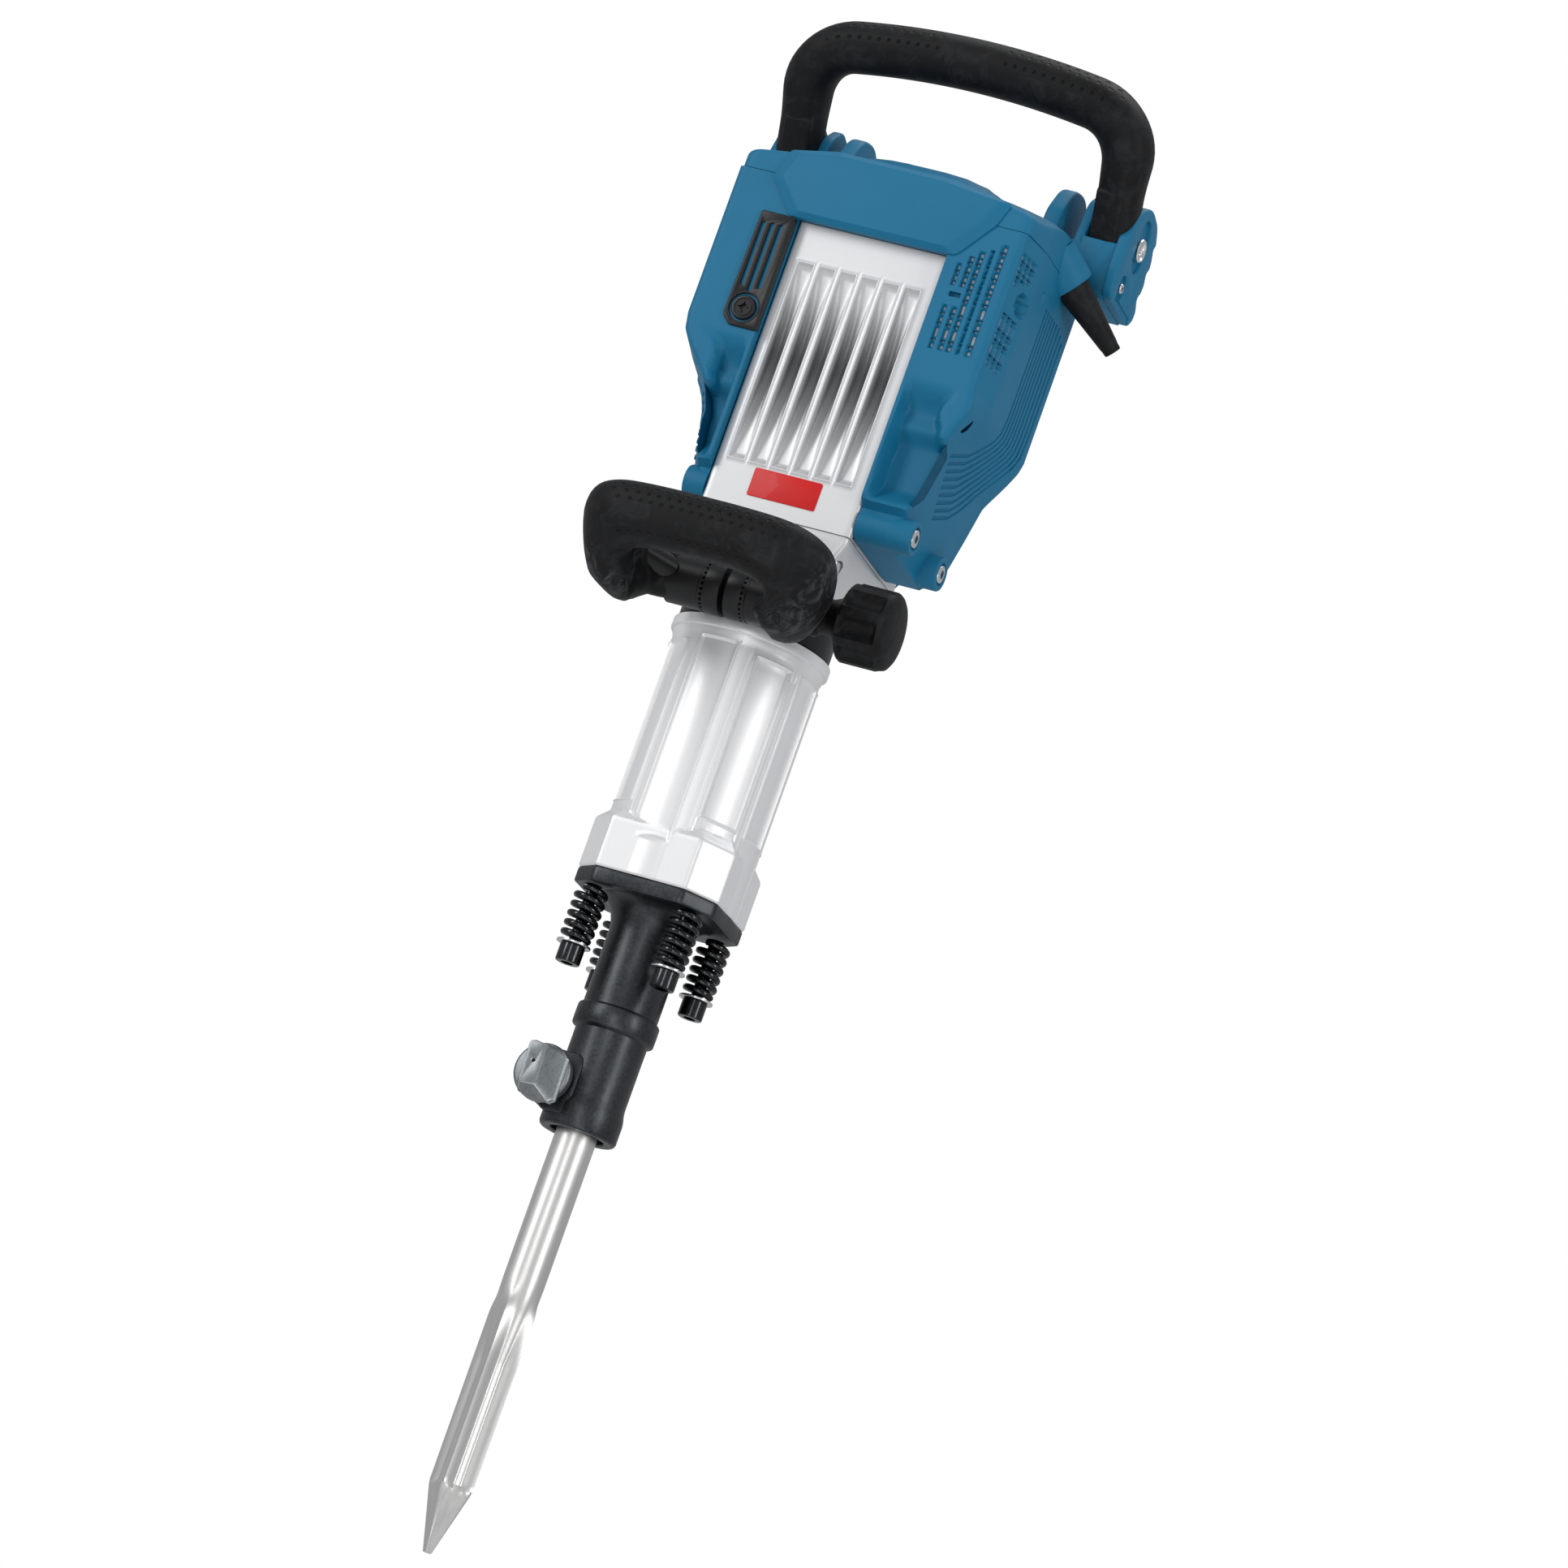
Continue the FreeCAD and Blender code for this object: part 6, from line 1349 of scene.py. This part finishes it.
def mainGrip():
    v = {"half": 111, "barY": 30, "barZ": 741.5, "leanY": -0.482, "leanZ": 0.876, "arch": 560, "corner": 34,
            "legLength": 51, "radius": 16.8, "legHalfX": 13.5, "legHalfY": 16.5}
    lean = Vector((0, v["leanY"], v["leanZ"])).normalized()
    flat = Vector((1, 0, 0)).cross(lean).normalized()
    reach = v["half"] - v["corner"]
    rise = math.sqrt((v["arch"] - v["corner"]) ** 2 - reach ** 2) - v["arch"]
    slope = math.asin(reach / (v["arch"] - v["corner"]))
    path = []
    steps = 8
    for k in range(steps + 1):
        path.append((v["half"], rise - v["legLength"] * (1 - k / steps)))
    for k in range(1, 15):
        a = (math.pi / 2 - slope) * k / 14
        path.append((reach + v["corner"] * math.cos(a), rise + v["corner"] * math.sin(a)))
    for k in range(1, 61):
        a = slope * (1 - k / 30)
        path.append((v["arch"] * math.sin(a), v["arch"] * (math.cos(a) - 1)))
    path += [(-x, u) for x, u in reversed(path[: steps + 14])]
    stations = []
    total = len(path)
    for k, (x, u) in enumerate(path):
        before, after = path[max(0, k - 1)], path[min(total - 1, k + 1)]
        dx, du = after[0] - before[0], after[1] - before[1]
        size = math.hypot(dx, du)
        outward = Vector((du / size, 0, 0)) + lean * (-dx / size)
        centre = Vector((x, v["barY"], v["barZ"])) + lean * u
        leg = ease(rise + 16 - u, 0, 40)
        depth = v["radius"] + (v["legHalfY"] - v["radius"]) * leg
        width = v["radius"] + (v["legHalfX"] - v["radius"]) * leg
        inner = width + 1.5 * leg
        stations.append((centre, outward, flat, width, inner, depth, depth))

    def pitsAt(along, a, k):
        x = path[k][0]
        part = (a / (2 * math.pi) * 360) % 360
        onTop = ease(28 - abs((part + 180) % 360 - 180), 0, 3)
        front = ease(15 - abs(part - 300), 0, 3) + ease(15 - abs(part - 60), 0, 3)
        zone = ease(abs(x), 20, 23) * ease(96 - abs(x), 0, 3)
        return max(onTop, front * 0.8) * zone

    grip = swept("mainGrip", stations, dimpledRubber, 56, 2.3, pitsAt)
    feet = []
    for side in (-1, 1):
        foot = softened([(46, 692), (42.5, 684), (60, 653.5), (79, 657.5), (74, 671), (68, 684)], 4, 5)
        low, high = (99, 117.5) if side > 0 else (-117.5, -99)
        feet.append(slab("gripFoot", foot, low, high, "X", rubber, 1.5))
    settle(joinKeeping("mainGrip", grip, feet), "main_handle_grip")


def auxGrip():
    values = {"stations": [((0, -149.6, 353.8), 16.4, 16.4, 18.2, 19.4),
            ((14, -149.6, 353.8), 16.4, 16.4, 18.2, 19.4), ((28, -149.4, 353.6), 16.4, 16.4, 18.2, 19.6),
            ((42, -148.8, 353.2), 16.6, 17, 18.2, 21.5), ((52, -147.2, 352.6), 17, 18.5, 18.2, 25.5),
            ((60, -143.5, 351.4), 16.6, 20, 18.2, 31), ((66, -137, 349.6), 14.6, 21, 18.2, 35.5),
            ((69.6, -128, 347.6), 12.2, 21.5, 18.4, 37.5), ((70.2, -117, 345.6), 10.6, 21.5, 18.6, 37.5),
            ((68.6, -106, 344), 10, 20.5, 18.6, 35.5), ((65, -96, 342.8), 10, 19, 18, 34),
            ((60, -88, 342), 10, 17, 17, 31), ((54, -81, 341.4), 10, 14.5, 16, 25),
            ((47, -75, 341.1), 10.5, 10.5, 15.4, 16.8), ((38, -70.3, 341), 11.5, 10, 14.8, 15)]}
    table = values["stations"]
    dense = []
    for k in range(len(table) - 1):
        a, b, c, d = (Vector(table[min(abs(j), len(table) - 1)][0]) for j in (k - 1, k, k + 1, k + 2))
        if k == 0:
            a = Vector((-c.x, c.y, c.z))
        for s in range(4):
            t = s / 4
            spot = 0.5 * ((2 * b) + (c - a) * t + (2 * a - 5 * b + 4 * c - d) * t * t
                    + (3 * b - a - 3 * c + d) * t ** 3)
            sizes = [table[k][1 + i] + (table[k + 1][1 + i] - table[k][1 + i]) * t for i in range(4)]
            dense.append((spot, *sizes))
    dense.append((Vector(table[-1][0]), *table[-1][1:]))
    whole = [(Vector((-p.x, p.y, p.z)), *s) for p, *s in reversed(dense[1:])] + dense
    stations = []
    for k, (spot, out, inn, up, down) in enumerate(whole):
        ahead = whole[min(k + 1, len(whole) - 1)][0] - whole[max(k - 1, 0)][0]
        ahead.normalize()
        tall = Vector((0, -0.10, 1))
        outward = ahead.cross(tall).normalized()
        upward = outward.cross(ahead).normalized()
        if upward.z < 0:
            upward = -upward
        stations.append((spot, outward, upward, out, inn, up, down))

    def pitsAt(along, a, k):
        x, y = whole[k][0][:2]
        part = math.degrees(a) % 360
        top = ease(27 - abs(part - 35), 0, 3)
        front = ease(9 - abs(part - 322), 0, 3) * 0.8
        marks = max(top, front) * ease(54 - abs(x), 0, 3)
        lobe = ease(y, -140, -132) * ease(-92 - y, 0, 5) * ease(0.75 - math.sin(a), 0, 0.2)
        return marks - lobe

    taper = [ease(station[-1] - 20, 0, 14) for station in stations]
    settle(swept("auxGrip", stations, dimpledRubber, 64, 2.6, pitsAt, taper=taper), "aux_grip")


def auxFrame():
    v = {"y": -66.5, "z": 341, "radius": 16.2, "start": 13.4, "end": 39.5, "teeth": 30, "tooth": 1.35}
    hubs = []
    for side in (-1, 1):
        rows = []
        count = v["teeth"] * 2
        profile = [(5.4, v["start"]), (v["radius"] - 0.6, v["start"]),
                (v["radius"] + 0.55, v["start"] - 0.01), (v["radius"] + 0.55, v["start"] + 2.2),
                (v["radius"], v["start"] + 2.8), (v["radius"], v["end"] - 1), (v["radius"] - 1, v["end"]),
                (5.4, v["end"])]
        for n, (r, z) in enumerate(profile):
            row = []
            for k in range(count):
                a = 2 * math.pi * k / count
                push = v["tooth"] * (1 if k % 2 else -1) if n in (1, 2) else 0
                row.append(Vector((r * math.cos(a), r * math.sin(a), z + push)))
            rows.append(row)
        rows.append(rows[0])
        points, faces = skin(rows, ends=False)
        place = standing((side, 0, 0), (0, v["y"], v["z"]))
        hubs.append(build("auxHub", [place @ p for p in points], faces, blackMould, angle=28))
    core = softCopy("aux_frame", blackMould, 0)
    keepHalf = slab("armTool", [(-40, -84), (40, -84), (40, -40), (-40, -40)], 300, 380, "Z", blackMould, 0)
    cut(core, keepHalf)
    settle(merged("auxFrame", hubs + [core]), "aux_frame")


def clampKnob():
    v = {"y": -66.5, "z": 341, "radius": 25.4, "start": 79, "end": 112.4, "flutes": 8, "fluteDepth": 5.4,
            "stem": 11.4}

    def shape(r, z, a):
        if z < v["start"] + 1 or r < 20:
            return r
        spin = (a * v["flutes"] / (2 * math.pi)) % 1 - 0.5
        wide = 1 - (abs(spin) / 0.32) ** 2
        along = ease(z, v["start"] + 1, v["start"] + 4) * ease(v["end"] - 5 - z, 0, 4)
        return r - v["fluteDepth"] * math.sqrt(max(0, wide)) * along if wide > 0 else r

    s, e, r = v["start"], v["end"], v["radius"]
    profile = [(0, 39.6), (v["stem"], 39.6), (v["stem"], 46), (v["stem"] - 2, 47), (v["stem"] - 2, 52),
            (v["stem"] + 2.5, 53.5), (v["stem"] + 2.8, 60), (v["stem"] + 2, 61.5), (v["stem"], 62.5),
            (v["stem"], 68), (v["stem"] + 2, 73), (17, 76.5), (20.8, 78.4), (22.8, s), (24.4, s + 1)]
    profile += [(r, s + 2.6 + k * 1.2) for k in range(20)]
    profile += [(r, e - 7.4), (r - 0.4, e - 6), (r - 1.6, e - 4.2), (r - 3.6, e - 2.8), (r - 6, e - 2),
            (15, e - 1.2), (8, e - 0.3), (0.02, e)]
    settle(turned("clampKnob", profile, rubber, 160, shape, standing((1, 0, 0), (0, v["y"], v["z"]))),
            "clamp_knob")


def clampBand():
    band = softCopy("clamp_band", blackMould, 0.9, steps=3)
    straps = []
    for low, high in ((-12.9, -1.7), (1.7, 12.9)):
        straps.append(turned("strap", softened([(5.4, low), (16.9, low), (16.9, high), (5.4, high)], 0.7, 3),
                blackMould, 64, closed=True, where=standing((1, 0, 0), (0, -66.5, 341))))
    settle(merged("clampBand", [band] + straps), "clamp_band")


def cableSleeve():
    v = {"run": (0.637, 0.527, -0.564), "base": (105.6, 40, 617.3)}
    profile = [(4.7, 49.6), (5.4, 49.9), (5.6, 49.2), (5.75, 46), (6.1, 44.5), (8.4, 24), (10.6, 6),
            (11.4, 0), (11.5, -6), (4.7, -6)]
    settle(turned("bendSleeve", profile, rubber, 64, closed=True, where=standing(v["run"], v["base"])),
            "cable_sleeve")


def lockBolt():
    v = {"x": -22, "z": 26, "disc": 18.4, "discFront": -36.5, "discBack": -29.3, "front": -44.6, "shaft": 9,
            "shaftBack": 24, "base": [(-34.5, 14), (-32, 10), (-10, 7.5), (-6.6, 10), (-6.8, 37), (-10, 41),
            (-31, 43.5), (-34, 40)], "face": [(-31.8, 17), (-30.6, 14.6), (-20.6, 15.4), (-19.6, 17),
            (-20.6, 40), (-21.6, 41.8), (-31.4, 41.6), (-32.4, 40)], "hole": (-26.2, 29.5)}
    disc = turned("lockDisc", softened([(0.01, v["discFront"]), (v["disc"], v["discFront"], 2.2),
            (v["disc"], v["discBack"], 0.8), (v["shaft"], v["discBack"], 0.6),
            (v["shaft"], v["shaftBack"], 1.2), (0.01, v["shaftBack"])], 0.1, 4, closed=False), lockSteel, 72,
            where=standing((0, 1, 0), (v["x"], 0, v["z"])))
    low, high = v["base"], v["face"]
    rows = []
    for share, y in ((0, v["discFront"] + 2), (0, v["discFront"] - 0.6), (0.12, v["discFront"] - 2.4),
            (0.94, v["front"] + 0.7), (1, v["front"] + 0.15), (1.04, v["front"])):
        row = []
        for (ax, az), (bx, bz) in zip(low, high):
            cx, cz = -26, 28
            x, z = ax + (bx - ax) * min(1, share), az + (bz - az) * min(1, share)
            if share > 1:
                x, z = cx + (x - cx) * 0.93, cz + (z - cz) * 0.96
            row.append((x, y, z))
        rows.append(row)
    points, faces = skin(rows)
    block = build("lockBlock", points, faces, lockSteel, angle=30)
    hole = turned("holeTool", [(1.2, -50), (1.2, -41)], blackMould, 20,
            where=standing((0, 1, 0), (v["hole"][0], 0, v["hole"][1])))
    cut(block, hole)
    # the rounded edges take the lighter steel: edge wear and a painted highlight
    edged(block, 0.75, 2, 25, wearAndHighlight=wornEdge)
    # a black disc inside the shallow hole: painted shade at its bottom
    dark = turned("holeEnd", [(1.15, -43.4), (1.15, -42.6)], blackMould, 20,
            where=standing((0, 1, 0), (v["hole"][0], 0, v["hole"][1])))
    settle(merged("lockBolt", [disc, block, dark]), "lock_bolt")
    settle(softCopy("lock_bolt_collar", lockSteel, 0.4, "lockCollar"), "lock_bolt_collar")


topCap()
brushCover("frontBrushCover", "front_brush_cover", False)
brushCover("rearBrushCover", "rear_brush_cover", True)
brushScrews()
frontLabel()
rearCover()
print("cap and covers made")
sideBrackets()
bracketHardware()
caseScrews()
mainGrip()
auxGrip()
auxFrame()
clampKnob()
clampBand()
cableSleeve()
lockBolt()
settle(softCopy("switch_frame", blackMould, 0.5, "switchFrame"), "switch_frame")
settle(softCopy("switch_rocker", blackMould, 0.8, "switchRocker"), "switch_rocker")
settle(softCopy("handle_buffers", rubber, 0.4, "handleBuffers"), "handle_buffers")
print("handles made")


for node, thing in frame["nodes"].items():
    item = bpy.data.objects[node] if isinstance(thing, str) else thing
    if not item.hide_render:
        for k in range(len(item.material_slots)):
            item.material_slots[k].material = finishOf[slotOf[node]]
